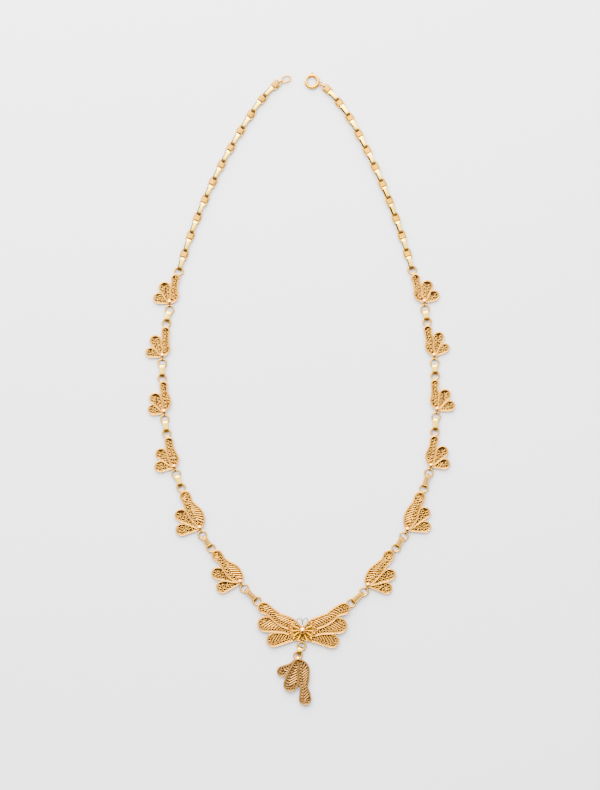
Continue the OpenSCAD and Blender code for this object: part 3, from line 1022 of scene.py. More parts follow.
    def _rays(self) -> None:
        """Lays slanted, slightly bent rays across the lobe, in the room that the eyelets leave."""
        sizes, side = self.sizes, self.lobe.rays.value * 90
        line = self.lobe.spine(sizes.ray_pitch)
        tip, tip_r, tip_heading = line[0]
        before = [(tip - polar(sizes.ray_pitch * k, tip_heading), tip_r, tip_heading) for k in (3, 2, 1)]
        for p, r, heading in (*before, *line):
            ahead = polar(1.0, heading)
            reach = (polar(1.0, heading + side) + ahead * sizes.ray_lean) * (r + sizes.ray_past)
            a, b = p - reach, p + reach
            self._ray(a, a.lerp(b, 0.5) - ahead * sizes.ray_bend * r, b)

    def _ray(self, a: Vector, c: Vector, b: Vector) -> None:
        """Lays the stretches of one ray that the lobe, its covers and its eyelets leave free.

        Args:
            a: its first end.
            c: the point towards which it bends.
            b: its other end.
        """
        sizes = self.sizes
        clear = sizes.eyelet_radius + sizes.ray_gap
        runs: list[list[Vector]] = [[]]
        for k in range(sizes.ray_steps + 1):
            t = k / sizes.ray_steps
            p = a * (1 - t) ** 2 + c * 2 * t * (1 - t) + b * t * t
            stopped = self.lobe.depth(p) < sizes.ray_stop or not self._free(p, 0.0) or self._dark(p)
            if stopped or self.lobe.in_chamber(p) or any((p - q).length < clear for q in self.holes):
                runs.append([])
            else:
                runs[-1].append(p)
        for points in runs:
            if len(points) > 3:
                ray = self._level([points[0], points[len(points) // 2], points[-1]], self.lobe.fill_z)
                self.bench.wire(sizes.metal.scroll, ray, sizes.ray_wire, rise=sizes.ray_rise)

    def _chamber(self) -> None:
        """Sets a round scroll in the end of a lobe, with an arc of painted shade inside its upper edge."""
        sizes, z = self.sizes, self.lobe.fill_z
        x, y, radius = self.lobe.chamber
        middle = Vector((x, y))
        edge = lifted(circle(middle, radius, 24), z)
        self.bench.wire(sizes.metal.scroll, edge, sizes.chamber_wire, True, sizes.rise)
        eye = spiral(middle + Vector((0.05, -0.12)), 0.55 * radius, 60, 1.2, self.lobe.rays.value)
        self.bench.wire(sizes.metal.scroll, lifted(eye, z), sizes.scroll_wire, rise=sizes.rise)
        arc = [middle + polar(radius - 0.3, 15 + 170 * k / 12) for k in range(13)]
        self.bench.wire(sizes.metal.shade, lifted(arc, self.lobe.floor_top() + 0.05), sizes.chamber_shade)


@dataclass
class Plaque:
    """A three-lobed plaque with a bead, an upright eyelet and a soldered ring."""

    name: str
    main: Sequence[Row]
    bead: Row
    second: Row
    third: Row
    ring: Point
    after: Point
    mirrored: bool
    heights: Row = (1.5, 1.3, 1.1)
    foot_radius: float = 0.7
    chamber_radius: float = 1.15
    bead_z: float = 1.0
    bead_room: float = 0.2
    eyelet_gap: float = 0.38

    def heading(self) -> float:
        """Gives the heading from the bead to the next piece of the chain."""
        return bearing(Vector(self.bead), Vector(self.after))

    def eyelet_place(self) -> Vector:
        """Gives the middle of the upright eyelet."""
        return Vector(self.bead[:2]) + polar(self.bead[2] + self.eyelet_gap, self.heading())

    def free_ring(self) -> Vector:
        """Gives the middle of the free jump ring in the eyelet."""
        return self.eyelet_place() + polar(RING_RADIUS, self.heading())

    def lobes(self) -> list[Lobe]:
        """Makes the three lobes. A large main lobe has a round scroll in its end, and rays.

        Returns:
            The lobes in the order in which they cover each other.
        """
        foot = (self.bead[0], self.bead[1], self.foot_radius)
        rays, other = (Side.RIGHT, Side.LEFT) if self.mirrored else (Side.LEFT, Side.RIGHT)
        main = Lobe([*self.main, foot], self.heights[0], rays, fill=Fill.EYELETS)
        if len(self.main) > 4:
            x, y, _ = self.main[0]
            chamber = (x, y + 0.1, self.chamber_radius)
            main = Lobe(main.rows, main.height, rays, rows_of_eyelets=2, chamber=chamber)
        return [
            main,
            Lobe([self.second, foot], self.heights[1], other, 0.72, Fill.EYELETS, 2),
            Lobe([self.third, foot], self.heights[2], other, 0.68, Fill.EYELETS, 2),
        ]

    def build(self) -> None:
        """Makes the plaque and sets it in place of its node."""
        bench = Bench()
        x, y, radius = self.bead
        side = 0.2 if self.mirrored else -0.2
        Filigree(
            self.lobes(),
            Shade(Vector((-0.08, 0.3)), Vector((side, 0.5)), Vector((side, 1.1))),
            keep_out=[(x, y, radius + self.bead_room)],
            metal=PLAQUE_METAL,
            eyelet_radius=0.5,
            eyelet_wire=0.12,
            eyelet_pitch=1.3,
            hole_wire=0.2,
            ray_wire=0.2,
        ).build(bench)
        bench.ball(BEAD_GOLD, Vector((x, y, self.bead_z)), radius, steps=28)
        bench.eyelet(self.eyelet_place(), self.heading())
        bench.flat_ring(self.ring)
        bench.deliver(f"filigree_{self.name}", Slot.FILIGREE, [self.name])


# A plaque's rows: the main lobe from its tip, the bead, the tips of the second and the third
# lobe, the soldered ring, and the next piece of the chain.
PLAQUES = {
    "left": (
        (((-43.6, 38.75, 1.43), (-44.0, 36.65, 1.13), (-44.25, 34.4, 1.4), (-44.1, 32.2, 1.35)),
         (-45.75, 30.5, 0.93), (-47.4, 35.4, 2.1), (-49.5, 31.8, 1.9), (-42.45, 41.3), (-45.75, 28.15)),
        (((-47.1, 20.3, 1.4), (-47.2, 17.9, 1.18), (-47.3, 15.7, 1.43), (-46.9, 13.7, 1.22)),
         (-48.3, 11.8, 0.93), (-50.65, 16.85, 2.0), (-52.3, 12.8, 1.8), (-46.85, 23.15), (-48.3, 8.95)),
        (((-47.85, 1.35, 1.37), (-47.65, -0.95, 1.16), (-47.2, -2.85, 1.5), (-46.75, -4.9, 1.4)),
         (-47.7, -7.8, 0.93), (-50.7, -3.3, 2.0), (-51.3, -7.2, 1.96), (-48.35, 3.9), (-47.5, -9.9)),
        (((-46.0, -18.3, 1.47), (-45.6, -20.6, 1.33), (-45.0, -22.8, 1.68), (-44.3, -24.7, 1.79)),
         (-44.2, -27.05, 0.93), (-48.6, -22.7, 2.0), (-49.0, -27.15, 1.96), (-46.75, -15.45),
         (-43.45, -29.7)),
        (((-40.25, -37.4, 1.82), (-39.2, -39.9, 1.68), (-38.15, -41.7, 2.07), (-36.5, -43.9, 2.52),
          (-35.3, -46.2, 1.82)),
         (-35.2, -48.5, 1.0), (-41.65, -44.2, 2.2), (-41.45, -49.25, 2.1), (-41.75, -34.45),
         (-34.25, -51.2)),
        (((-29.15, -58.1, 1.82), (-27.2, -60.3, 1.37), (-25.65, -61.95, 1.89), (-23.55, -63.9, 2.52),
          (-21.8, -65.8, 1.82)),
         (-21.05, -67.4, 1.0), (-28.8, -64.5, 2.2), (-27.25, -69.35, 2.1), (-31.3, -55.6), (-19.45, -70.0)),
    ),
    "right": (
        (((40.3, 38.75, 1.47), (40.8, 36.9, 1.16), (41.2, 34.8, 1.47), (41.3, 32.5, 1.26)),
         (43.45, 30.75, 0.93), (44.35, 36.05, 2.0), (46.7, 32.7, 1.86), (39.15, 41.7), (43.6, 28.4)),
        (((44.6, 20.8, 1.4), (44.85, 19.0, 1.16), (45.3, 16.8, 1.4), (45.25, 14.5, 1.4)),
         (46.85, 11.9, 0.93), (48.35, 18.1, 1.9), (50.5, 14.4, 1.6), (44.4, 23.6), (47.0, 9.75)),
        (((47.1, 1.95, 1.33), (47.05, -0.35, 1.1), (47.2, -2.1, 1.44), (46.95, -4.4, 1.4)),
         (47.9, -6.95, 0.93), (50.55, -2.05, 2.03), (52.2, -5.85, 1.86), (47.2, 4.8), (47.5, -9.5)),
        (((46.9, -17.8, 1.44), (46.45, -19.7, 1.23), (46.1, -21.45, 1.54), (45.55, -23.65, 1.72)),
         (45.75, -26.7, 0.93), (49.6, -22.0, 2.07), (50.35, -26.15, 1.89), (47.1, -14.85), (44.9, -29.6)),
        (((41.85, -37.75, 1.82), (40.9, -40.1, 1.68), (39.55, -42.5, 2.1), (38.75, -44.6, 2.38),
          (38.05, -46.55, 1.86)),
         (37.55, -49.05, 1.0), (43.35, -43.35, 2.07), (43.6, -48.2, 2.0), (43.25, -34.73), (36.25, -51.45)),
        (((31.0, -58.2, 1.82), (29.95, -60.1, 1.6), (28.1, -62.0, 1.82), (26.25, -64.05, 2.24),
          (24.4, -66.5, 1.82)),
         (23.75, -68.5, 1.0), (31.2, -65.0, 2.1), (30.05, -69.7, 2.03), (33.55, -55.6), (22.25, -71.05)),
    ),
}
FRAMED_LINKS = {"left": (5, 6), "right": (4, 5, 6)}
WING_RINGS = {"left": (-15.15, -74.15), "right": (17.95, -74.85)}
ROSETTE_AT = Vector((0.77, -84.4))
DROP_LUG = Vector((0.75, -88.6))
DROP_JUMP = Vector((0.45, -89.97))
DROP_TOP = Vector((-0.85, -93.2))
CLASP_AT = Vector((4.1, 107.7))
CLASP_EYE_OUT = 3.0
CLASP_EYE_RADIUS = 0.7
CLASP_EYE_HEADING = -15
CLASP_LINK_Z = 0.81


def plaques(side: str) -> list[Plaque]:
    """Gives the six plaques of one side, from the top."""
    return [Plaque(f"plaque_{side}_{i + 1}", *row, side == "right") for i, row in enumerate(PLAQUES[side])]


# Links


def dark_end(length: float, height: float, half: float, rise: float, reach: float) -> bpy.types.Mesh:
    """Makes the painted shade on the outside of the +X end of a strip loop, standing about the origin.

    Args:
        length: the loop's length.
        height: the loop's height.
        half: half of the strip's thickness.
        rise: half of the strip's flat.
        reach: how far from its end the painted shade reaches.

    Returns:
        The dark end's mesh.
    """
    proud, out, turn = 0.03, 0.02, 0.25
    lift = height / 2 - half + proud
    start = length / 2 - half - reach + out
    line = [Vector((start + reach * math.sin(turn * k), lift * math.cos(turn * k))) for k in range(7)]
    mesh = swept([(lifted(line, 0), False)], half, rise)
    mesh.transform(UPRIGHT)
    return mesh


def cheek(bench: Bench, ring: Sequence[float], heading: float) -> None:
    """Lays the cheek of a link's end inside the near half of a ring, in painted shade.

    Args:
        bench: the link's bench.
        ring: the middle of the ring.
        heading: the heading from there to the link.
    """
    radius, low, high, turn = 0.97, 0.6, 0.95, 13.5
    outline = [Vector((ring[0], ring[1])) + polar(radius, heading + turn * k) for k in range(-6, 7)]
    bench.lay(plate(outline, low, high), SHADED_END_GOLD)


@dataclass
class JumpRing:
    """A free round ring that lies flat between an eyelet and a box link."""

    name: str
    at: Vector

    def build(self) -> None:
        """Makes the ring and sets it in place of its node."""
        bench = Bench()
        bench.flat_ring(self.at)
        bench.deliver(f"dressed_{self.name}", Slot.CHAIN, [self.name])


@dataclass
class BoxLink:
    """A box link between two rings: a bent strip with tapered ends."""

    name: str
    start: Vector
    end: Vector
    framed: bool = False
    both_ends_dark: bool = False
    width: float = 1.9
    height: float = 1.5
    thickness: float = 0.3
    bend: float = 0.95
    taper: float = 0.63
    shown_taper: float = 0.4
    reach: float = 0.45
    dark_reach: float = 0.6
    dark_inset: float = 0.05
    strip_step: float = 0.15
    framed_drop: float = 0.2
    framed_thinning: float = 0.05
    rail: float = 0.17
    rail_wire: float = 0.15
    rail_z: float = 0.6
    ring_room: float = 1.5
    bar: float = 0.2
    bar_z: float = 0.55
    collar: float = 0.55

    def _tapered(self, mesh: bpy.types.Mesh, length: float) -> bpy.types.Mesh:
        """Narrows the ends of a loop that stands about the origin.

        Args:
            mesh: the loop, or a part of it.
            length: the loop's length.

        Returns:
            The same mesh.
        """
        for v in mesh.vertices:
            room = (length / 2 - abs(v.co.x)) / self.taper
            v.co.y *= 1 - self.shown_taper / (self.width / 2) * max(0.0, 1 - room)
        return mesh

    def build(self) -> None:
        """Makes the link and sets it in place of its node."""
        bench = Bench()
        length = (self.end - self.start).length - 2 * self.reach
        place = turned(raised((self.start + self.end) / 2, RING_Z), bearing(self.start, self.end))
        height = self.height - (self.framed_drop if self.framed else 0.0)
        half = self.thickness / 2 - (self.framed_thinning if self.framed else 0.0)
        line = long_oval(length - 2 * half, height - 2 * half, self.bend)
        strip = hoop(resample(line, self.strip_step, True), half, self.width / 2 - half)
        strip.transform(UPRIGHT)
        # A framed link's strip takes the dimmed rim finish, which is painted shade.
        bench.lay(self._tapered(strip, length), DIMMED_METAL.rim if self.framed else STRIP_GOLD, place)
        # Painted shade on the far end of the link, and inside its rings.
        end = dark_end(length, height, half, self.width / 2 - half - self.dark_inset, self.dark_reach)
        bench.lay(self._tapered(end, length), SHADED_END_GOLD, place)
        cheek(bench, self.end, bearing(self.end, self.start))
        if self.both_ends_dark:
            cheek(bench, self.start, bearing(self.start, self.end))
        if self.framed:
            self._frame(bench, place, length)
        bench.deliver(f"dressed_{self.name}", Slot.CHAIN, [self.name])

    def _frame(self, bench: Bench, place: Matrix, length: float) -> None:
        """Adds the side rails, which are open where the rings pass, the end bars and a square collar.

        Args:
            bench: the link's bench.
            place: the link's place.
            length: the link's length.
        """
        reach = length / 2 - self.taper
        solid = length / 2 - self.ring_room
        for side in (-1, 1):
            y = side * (self.width / 2 - self.rail)
            if solid > 0:
                run = ([Vector((-1, 0, 0)), Vector((1, 0, 0))], False)
                rail = swept([run], self.rail, self.height / 2 - self.rail, 2)
                size = Matrix.Diagonal((solid, 1, 1, 1))
                bench.lay(rail, LINK_GOLD, place @ Matrix.Translation((0, y, 0)) @ size)
            for z in (-self.rail_z, self.rail_z):
                line = [place @ Vector((x, y, z)) for x in (-reach, reach)]
                bench.wire(LINK_GOLD, line, self.rail_wire, sides=2)
        for x in (-reach, self.collar - reach, reach):
            line = [place @ Vector((x, side * (self.width / 2 - self.bar), self.bar_z)) for side in (-1, 1)]
            bench.wire(LINK_GOLD, line, self.bar, sides=2)


@dataclass
class SmallLink:
    """A small plain loop that stands upright through two wires."""

    name: str
    start: Vector
    end: Vector
    z: float = RING_Z
    spare: float = 1.38
    height: float = 1.4
    corner: float = 0.4
    wire: float = 0.14
    rise: float = 0.06

    def build(self) -> None:
        """Makes the link and sets it in place of its node."""
        bench = Bench()
        length = (self.end - self.start).length + self.spare
        line = rounded_box(length - 2 * self.wire, self.height - 2 * self.wire, self.corner)
        place = turned(raised((self.start + self.end) / 2, self.z), bearing(self.start, self.end))
        bench.lay(hoop(line, self.wire, self.rise, 2), LINK_GOLD, place @ UPRIGHT)
        bench.deliver(f"dressed_{self.name}", Slot.CHAIN, [self.name])


@dataclass
class Chain:
    """A chain of upright strip loops and flat wound links in turn.

    An arc is a radius and a length. A roll is two links that lie flat, by their numbers, and the
    most degrees by which those between them roll.
    """

    name: str
    ring: Point
    heading: float
    arcs: Sequence[Point]
    step: float
    rolls: Sequence[Row] = ()
    count: int = 22
    z: float = 0.8
    rolled_z: float = 0.82
    rolled_lift: float = 0.3
    wide_length: float = 3.84
    wide_width: float = 2.8
    wide_wire: float = 0.23
    wide_corner: float = 0.39
    collar: float = 1.6
    collar_height: float = 1.36
    collar_corner: float = 0.45
    collar_inset: float = 0.16
    wraps: int = 5
    strip_length: float = 4.8
    strip_width: float = 1.54
    strip_height: float = 1.56
    strip_half: float = 0.15
    bend: float = 0.95
    ring_gap: float = 0.3
    dark_inset: float = 0.03
    # Where the line of painted shade runs along each strip loop's left edge.
    shade_line: Point = (-1.6, 1.4)
    shade_line_inset: Point = (0.12, 0.08)
    shade_line_wire: float = 0.2

    def place(self, distance: float) -> tuple[Vector, float]:
        """Follows the chain's arcs from its ring.

        Args:
            distance: how far to go from the first link.

        Returns:
            The place and the heading there.
        """
        p = Vector(self.ring) + polar(self.strip_length / 2 + self.ring_gap, self.heading)
        heading = self.heading
        for i, (radius, length) in enumerate(self.arcs):
            part = distance if i == len(self.arcs) - 1 else min(distance, length)
            turn = math.degrees(part / radius)
            centre = p + polar(radius, heading + 90)
            p = centre - polar(radius, heading + 90 + turn)
            heading += turn
            distance -= part
            if distance <= 0:
                break
        return p, heading

    def end(self) -> tuple[Vector, float]:
        """Gives the place and heading of the last link."""
        return self.place(self.step * (self.count - 1))

    def end_wire(self) -> Vector:
        """Gives the middle of the last link's outer wire."""
        p, heading = self.end()
        return p + polar(self.wide_length / 2 - self.wide_wire, heading)

    def _roll(self, k: int, start: float, stop: float, most: float) -> float:
        """Gives the roll of a link between two links that lie flat."""
        return most * math.sin(math.pi * (k - start) / (stop - start)) if start < k < stop else 0.0

    def _lie(self, k: int) -> tuple[float, float]:
        """Tells how a link lies.

        Args:
            k: the link's number, from the ring.

        Returns:
            Its height and its roll.
        """
        if not self.rolls:
            return self.z, 0.0
        height = self.rolled_z + self.rolled_lift * min(1, k / 8, (self.count - 1 - k) / 8)
        return height, sum(self._roll(k, *roll) for roll in self.rolls)

    def _strip(self) -> bpy.types.Mesh:
        """Makes an upright strip loop.

        Returns:
            Its mesh, about the origin.
        """
        half = self.strip_half
        line = long_oval(self.strip_length - 2 * half, self.strip_height - 2 * half, self.bend)
        mesh = hoop(line, half, self.strip_width / 2 - half, 2)
        mesh.transform(UPRIGHT)
        return mesh

    def _end(self) -> bpy.types.Mesh:
        """Makes the painted shade on the lower end of a strip loop.

        Returns:
            Its mesh, where it stands on a strip loop.
        """
        rise = self.strip_width / 2 - self.strip_half - self.dark_inset
        mesh = dark_end(self.strip_length, self.strip_height, self.strip_half, rise, self.bend)
        mesh.transform(Matrix.Rotation(math.pi, 4, "Z"))
        return mesh

    def _shade_line(self) -> bpy.types.Mesh:
        """Makes the line of painted shade along the left edge of a strip loop."""
        y, z = self.strip_width / 2 - self.shade_line_inset[0], self.strip_height / 2 - self.shade_line_inset[1]
        return swept([([Vector((x, y, z)) for x in self.shade_line], False)], self.shade_line_wire, sides=2)

    def _frame(self) -> bpy.types.Mesh:
        """Makes the flat wire frame of a wide link."""
        length, width = self.wide_length - 2 * self.wide_wire, self.wide_width - 2 * self.wide_wire
        return hoop(rounded_box(length, width, self.wide_corner), self.wide_wire, sides=3)

    def _collar(self) -> bpy.types.Mesh:
        """Makes the wraps of wire round the waist of a wide link.

        Returns:
            Their mesh, about the origin.
        """
        pitch = self.collar / self.wraps
        width = self.wide_width - self.collar_inset - pitch
        section = rounded_box(width, self.collar_height - pitch, self.collar_corner)
        places = [pitch * (k - (self.wraps - 1) / 2) for k in range(self.wraps)]
        return swept([([Vector((x, *p)) for p in section], True) for x in places], pitch / 2, sides=2)

    def build(self) -> None:
        """Makes the chain and sets it in place of its node."""
        bench = Bench()
        strip_parts = ((self._strip(), STRIP_GOLD), (self._end(), SHADED_END_GOLD), (self._shade_line(), DEEP_SHADE_GOLD))
        wide_parts = ((self._frame(), LINK_GOLD), (self._collar(), COLLAR_GOLD))
        for k in range(self.count):
            p, heading = self.place(self.step * k)
            z, roll = self._lie(k)
            place = turned(raised(p, z), heading) @ Matrix.Rotation(math.radians(roll), 4, "X")
            for mesh, finish in wide_parts if k % 2 else strip_parts:
                bench.stamp(mesh, finish, place)
        cheek(bench, self.ring, self.heading)
        for mesh, _ in (*strip_parts, *wide_parts):
            bpy.data.meshes.remove(mesh)
        bench.deliver(f"dressed_{self.name}", Slot.CHAIN, [self.name])


LEFT_CHAIN = Chain("chain_left", (-42.45, 41.3), 73.1, ((-204, 60), (-45, 20)), 3.4)
RIGHT_CHAIN = Chain(
    "chain_right",
    (39.15, 41.7),
    105.8,
    ((232.4, 52.4), (53.9, 25)),
    3.23,
    rolls=((2, 11, 17), (11, 16, 12), (16, 20, 8)),
)


@dataclass
class EndRing:
    """The plain oval ring that the clasp hooks into."""

    at: Vector = field(default_factory=lambda: Vector((-5.05, 108.5)))
    turn: float = 20.0
    length: float = 3.7
    width: float = 2.6
    corner: float = 0.9
    wire: float = 0.3
    inner_wire: float = 1.64

    def inner_end(self) -> Vector:
        """Gives the middle of the wire nearest the left chain."""
        return self.at - polar(self.inner_wire, self.turn)

    def build(self) -> None:
        """Makes the ring and sets it in place of its node."""
        bench = Bench()
        line = rounded_box(self.length - 2 * self.wire, self.width - 2 * self.wire, self.corner, 8)
        bench.lay(hoop(line, self.wire, sides=3), LINK_GOLD, turned(raised(self.at, RING_Z), self.turn))
        bench.deliver("dressed_end_ring", Slot.CHAIN, ["end_ring"])


# Butterfly, rosette and drop


@dataclass
class Butterfly:
    """Six wing lobes in three layers, with two soldered rings and a lug."""

    wings: Sequence[Sequence[Row]] = (
        ((-12.8, -76.5, 2.0), (-10.65, -77.85, 1.6), (-7.9, -80.05, 1.8), (-5.1, -81.4, 2.17),
         (-2.55, -82.5, 1.75),
         (-0.45, -83.65, 0.7)),
        ((15.3, -76.8, 2.05), (12.7, -77.9, 1.7), (10.05, -80.1, 1.83), (7.0, -81.45, 2.07),
         (4.25, -82.4, 1.75),
         (2.0, -83.65, 0.7)),
        ((-12.15, -82.25, 2.7), (-8.7, -83.3, 1.82), (-5.55, -84.35, 1.1), (-2.9, -85.6, 0.85),
         (-1.15, -86.1, 0.5)),
        ((13.5, -82.75, 2.8), (10.2, -83.8, 1.9), (7.05, -84.8, 1.12), (4.6, -85.75, 0.85),
         (2.6, -86.1, 0.5)),
        ((-9.35, -87.85, 2.4), (-6.75, -87.4, 2.06), (-4.15, -87.1, 1.47), (-1.85, -87.1, 0.98),
         (-0.1, -87.2, 0.6)),
        ((11.1, -88.2, 2.4), (8.45, -87.75, 2.0), (5.85, -87.4, 1.54), (3.4, -87.3, 1.05),
         (1.3, -87.3, 0.6)),
    )
    heights: Row = (2.0, 1.65, 1.3)
    floors: Row = (1.3, 1.05, 0.82)
    shade: Shade = field(
        default_factory=lambda: Shade(Vector((-0.03, 0.12)), Vector((-0.05, 0.28)), Vector((-0.06, 0.35)))
    )
    low_radius: float = 4.85
    seat: Row = (0.0, -0.8, 2.2)
    seat_top: float = 1.04
    fan_radius: float = 3.5
    fan_point: Point = (0.0, 0.8)
    fan_top: float = 1.0
    lug: Row = (0.0, 0.95, 0.6)
    lug_top: float = 0.8

    def lobes(self) -> list[Lobe]:
        """Makes the six lobes.

        Returns:
            The lobes in the order in which they cover each other.
        """
        sides = (Side.LEFT, Side.RIGHT)
        return [
            Lobe(rows, self.heights[i // 2], sides[i % 2], self.floors[i // 2])
            for i, rows in enumerate(self.wings)
        ]

    def build(self) -> None:
        """Makes the wings and sets them in place of their node."""
        bench = Bench()
        Filigree(self.lobes(), self.shade, low_circle=(*ROSETTE_AT, self.low_radius)).build(bench)
        # Painted shade: dark gold plates under the rosette.
        seat = circle(ROSETTE_AT + Vector(self.seat[:2]), self.seat[2], 40)
        bench.lay(plate(seat, FLOOR_Z, self.seat_top), AMBER_GOLD)
        fan = [ROSETTE_AT + polar(self.fan_radius, degrees) for degrees in range(-214, 35, 6)]
        point = ROSETTE_AT + Vector(self.fan_point)
        bench.lay(plate([point, *fan], FLOOR_Z, self.fan_top), AMBER_GOLD)
        lug = circle(DROP_LUG + Vector(self.lug[:2]), self.lug[2], 24)
        bench.lay(plate(lug, FLOOR_Z, self.lug_top), FIELD_GOLD)
        for at in WING_RINGS.values():
            bench.flat_ring(at)
        bench.eyelet(DROP_LUG, bearing(DROP_LUG, DROP_JUMP))
        bench.deliver("filigree_butterfly", Slot.FILIGREE, ["butterfly"])


@dataclass
class Rosette:
    """Eight ridged petals and rim beads round a domed bead, all polished."""

    seat: float = 1.05
    petals: Sequence[float] = (25, -5, -32, -65, -115, -148, -175, -205)
    petal_rows: Sequence[Row] = ((3.3, 0, 0.72), (1.9, 0, 0.4), (0.7, 0, 0.2))
    petal_top: float = 0.24
    petal_inset: float = 0.1
    edge_inset: float = 0.14
    edge_wire: float = 0.13
    edge_rise: float = 0.26
    edge_z: float = 0.4
    ridge: Sequence[float] = (1.5, 2.0, 2.5, 3.0, 3.5)
    ridge_radius: float = 0.24
    ridge_growth: float = 0.05
    ridge_squash: float = 0.8
    ridge_z: float = 0.3
    beads: Sequence[float] = (40, 12, -15, -43, -137, -165, -192, -220)
    bead_ring: float = 4.3
    bead_radius: float = 0.44
    bead_z: float = 0.45
    spoke: Row = (2.0, 3.0, 4.1)
    spoke_wire: float = 0.14
    spoke_z: float = 0.2
    cup_radius: float = 1.45
    cup_top: float = 0.75
    dome: float = 1.28
    dome_z: float = 0.9
    neck_rows: Sequence[Row] = ((-0.1, 1.15, 0.18), (0, 0.2, 0.55))
    neck_top: float = 0.95
    neck_bead: Row = (-0.05, 1.5, 0.6)
    neck_bead_radius: float = 0.32

    def _petal(self, bench: Bench, degrees: float) -> None:
        """Makes one petal: a leaf in dark gold for painted shade, with a bold bright ridge and a fine edge.

        Args:
            bench: the rosette's bench.
            degrees: the petal's heading.
        """
        leaf = Lobe(self.petal_rows, self.petal_top)
        tip = self.petal_rows[0][0]
        place = turned(raised(ROSETTE_AT, self.seat), degrees)
        bench.lay(plate(leaf.outline(self.petal_inset), 0.0, self.petal_top), AMBER_GOLD, place)
        for points, closed in leaf.edge_runs(self.edge_inset, 0.2, lambda p: p[0] > tip):
            line = [place @ p for p in lifted(points, self.edge_z)]
            bench.wire(PETAL_GOLD, line, self.edge_wire, closed, self.edge_rise)
        for x in self.ridge:
            radius = self.ridge_radius + self.ridge_growth * x
            bench.ball(PETAL_GOLD, place @ Vector((x, 0, self.ridge_z)), radius, self.ridge_squash, 14)

    def build(self) -> None:
        """Makes the rosette and sets it in place of its node."""
        bench = Bench()
        middle = raised(ROSETTE_AT, self.seat)
        place = Matrix.Translation(middle)
        for degrees in self.petals:
            self._petal(bench, degrees)
        for degrees in self.beads:
            bead = raised(polar(self.bead_ring, degrees), self.bead_z)
            bench.ball(PETAL_GOLD, middle + bead, self.bead_radius, steps=18)
            # The spokes and the cup are in the dark gold of painted shade.
            spoke = [middle + raised(polar(r, degrees), self.spoke_z) for r in self.spoke]
            bench.wire(AMBER_GOLD, spoke, self.spoke_wire, sides=2)
        bench.lay(plate(circle(Vector((0, 0)), self.cup_radius, 40), 0.0, self.cup_top), AMBER_GOLD, place)
        bench.ball(BEAD_GOLD, middle + Vector((0, 0, self.dome_z)), self.dome, steps=36)
        neck = Lobe(self.neck_rows, self.neck_top)
        bench.lay(plate(neck.outline(0.0), 0.0, self.neck_top), PETAL_GOLD, place)
        bench.ball(BEAD_GOLD, middle + Vector(self.neck_bead), self.neck_bead_radius, steps=16)
        bench.deliver("polished_rosette", Slot.ROSETTE, ["rosette"])


@dataclass
class Antennae:
    """One bent wire with two curled arms."""

    z: float = 1.35
    stem_wire: float = 0.2
    arm_wire: float = 0.17
    stem: Sequence[Point] = ((0.75, -82.62), (0.77, -81.5))
    left: Sequence[tuple[float, float]] = (
        (0.77, -81.5), (0.5, -80.75), (0.1, -80.25), (-0.4, -80.15), (-0.85, -80.4), (-1.05, -80.8),
        (-0.8, -81.05))
    right: Sequence[tuple[float, float]] = (
        (0.77, -81.5), (1.05, -80.75), (1.5, -80.25), (2.0, -80.15), (2.45, -80.4), (2.65, -80.8),
        (2.4, -81.05))

    def build(self) -> None:
        """Makes the antennae and sets them in place of their node."""
        bench = Bench()
        bench.wire(ANTENNA_METAL, lifted(self.stem, self.z), self.stem_wire, sides=2)
        for arm in (self.left, self.right):
            line = smooth([(x, y, 0.0) for x, y in arm], 5)
            bench.wire(ANTENNA_METAL, lifted(line, self.z), self.arm_wire, sides=2)
        bench.deliver("curled_antennae", Slot.ANTENNA, ["antennae"])


@dataclass
class Drop:
    """Three lobes hanging under a bead and a soldered ring."""

    rows: Sequence[Sequence[Row]] = (
        ((1.7, -108.5, 2.07), (1.6, -106.75, 1.82), (1.3, -104.5, 1.3), (1.1, -102.55, 1.75),
         (1.1, -100.1, 2.07),
         (1.1, -97.3, 1.75), (-0.6, -94.9, 0.7)),
        ((-3.4, -103.4, 2.4), (-2.75, -100.8, 2.1), (-1.95, -97.65, 1.33), (-0.9, -94.8, 0.7)),
        ((-6.25, -98.8, 1.82), (-3.25, -96.95, 1.1), (-0.8, -94.6, 0.7)),
    )
    heights: Row = (1.5, 1.7, 1.3)
    shade: Shade = field(
        default_factory=lambda: Shade(Vector((-0.04, 0.15)), Vector((-0.1, 0.3)), Vector((0.0, 0.1)))
    )
    bead: Row = (-0.8, -94.4, 1.1)
    bead_room: float = 0.1
    bead_z: float = 1.1

    def build(self) -> None:
        """Makes the drop and sets it in place of its node."""
        bench = Bench()
        x, y, radius = self.bead
        lobes = [Lobe(rows, height) for rows, height in zip(self.rows, self.heights)]
        clear = (x, y, radius + self.bead_room)
        # The drop takes the dimmed finishes, painted shade for the weaker light at the bottom.
        Filigree(lobes, self.shade, keep_out=[clear], metal=DIMMED_METAL).build(bench)
        bench.ball(BEAD_GOLD, Vector((x, y, self.bead_z)), radius, steps=28)
        bench.flat_ring(DROP_TOP)
        bench.deliver("filigree_drop", Slot.FILIGREE, ["drop"])


# Setting


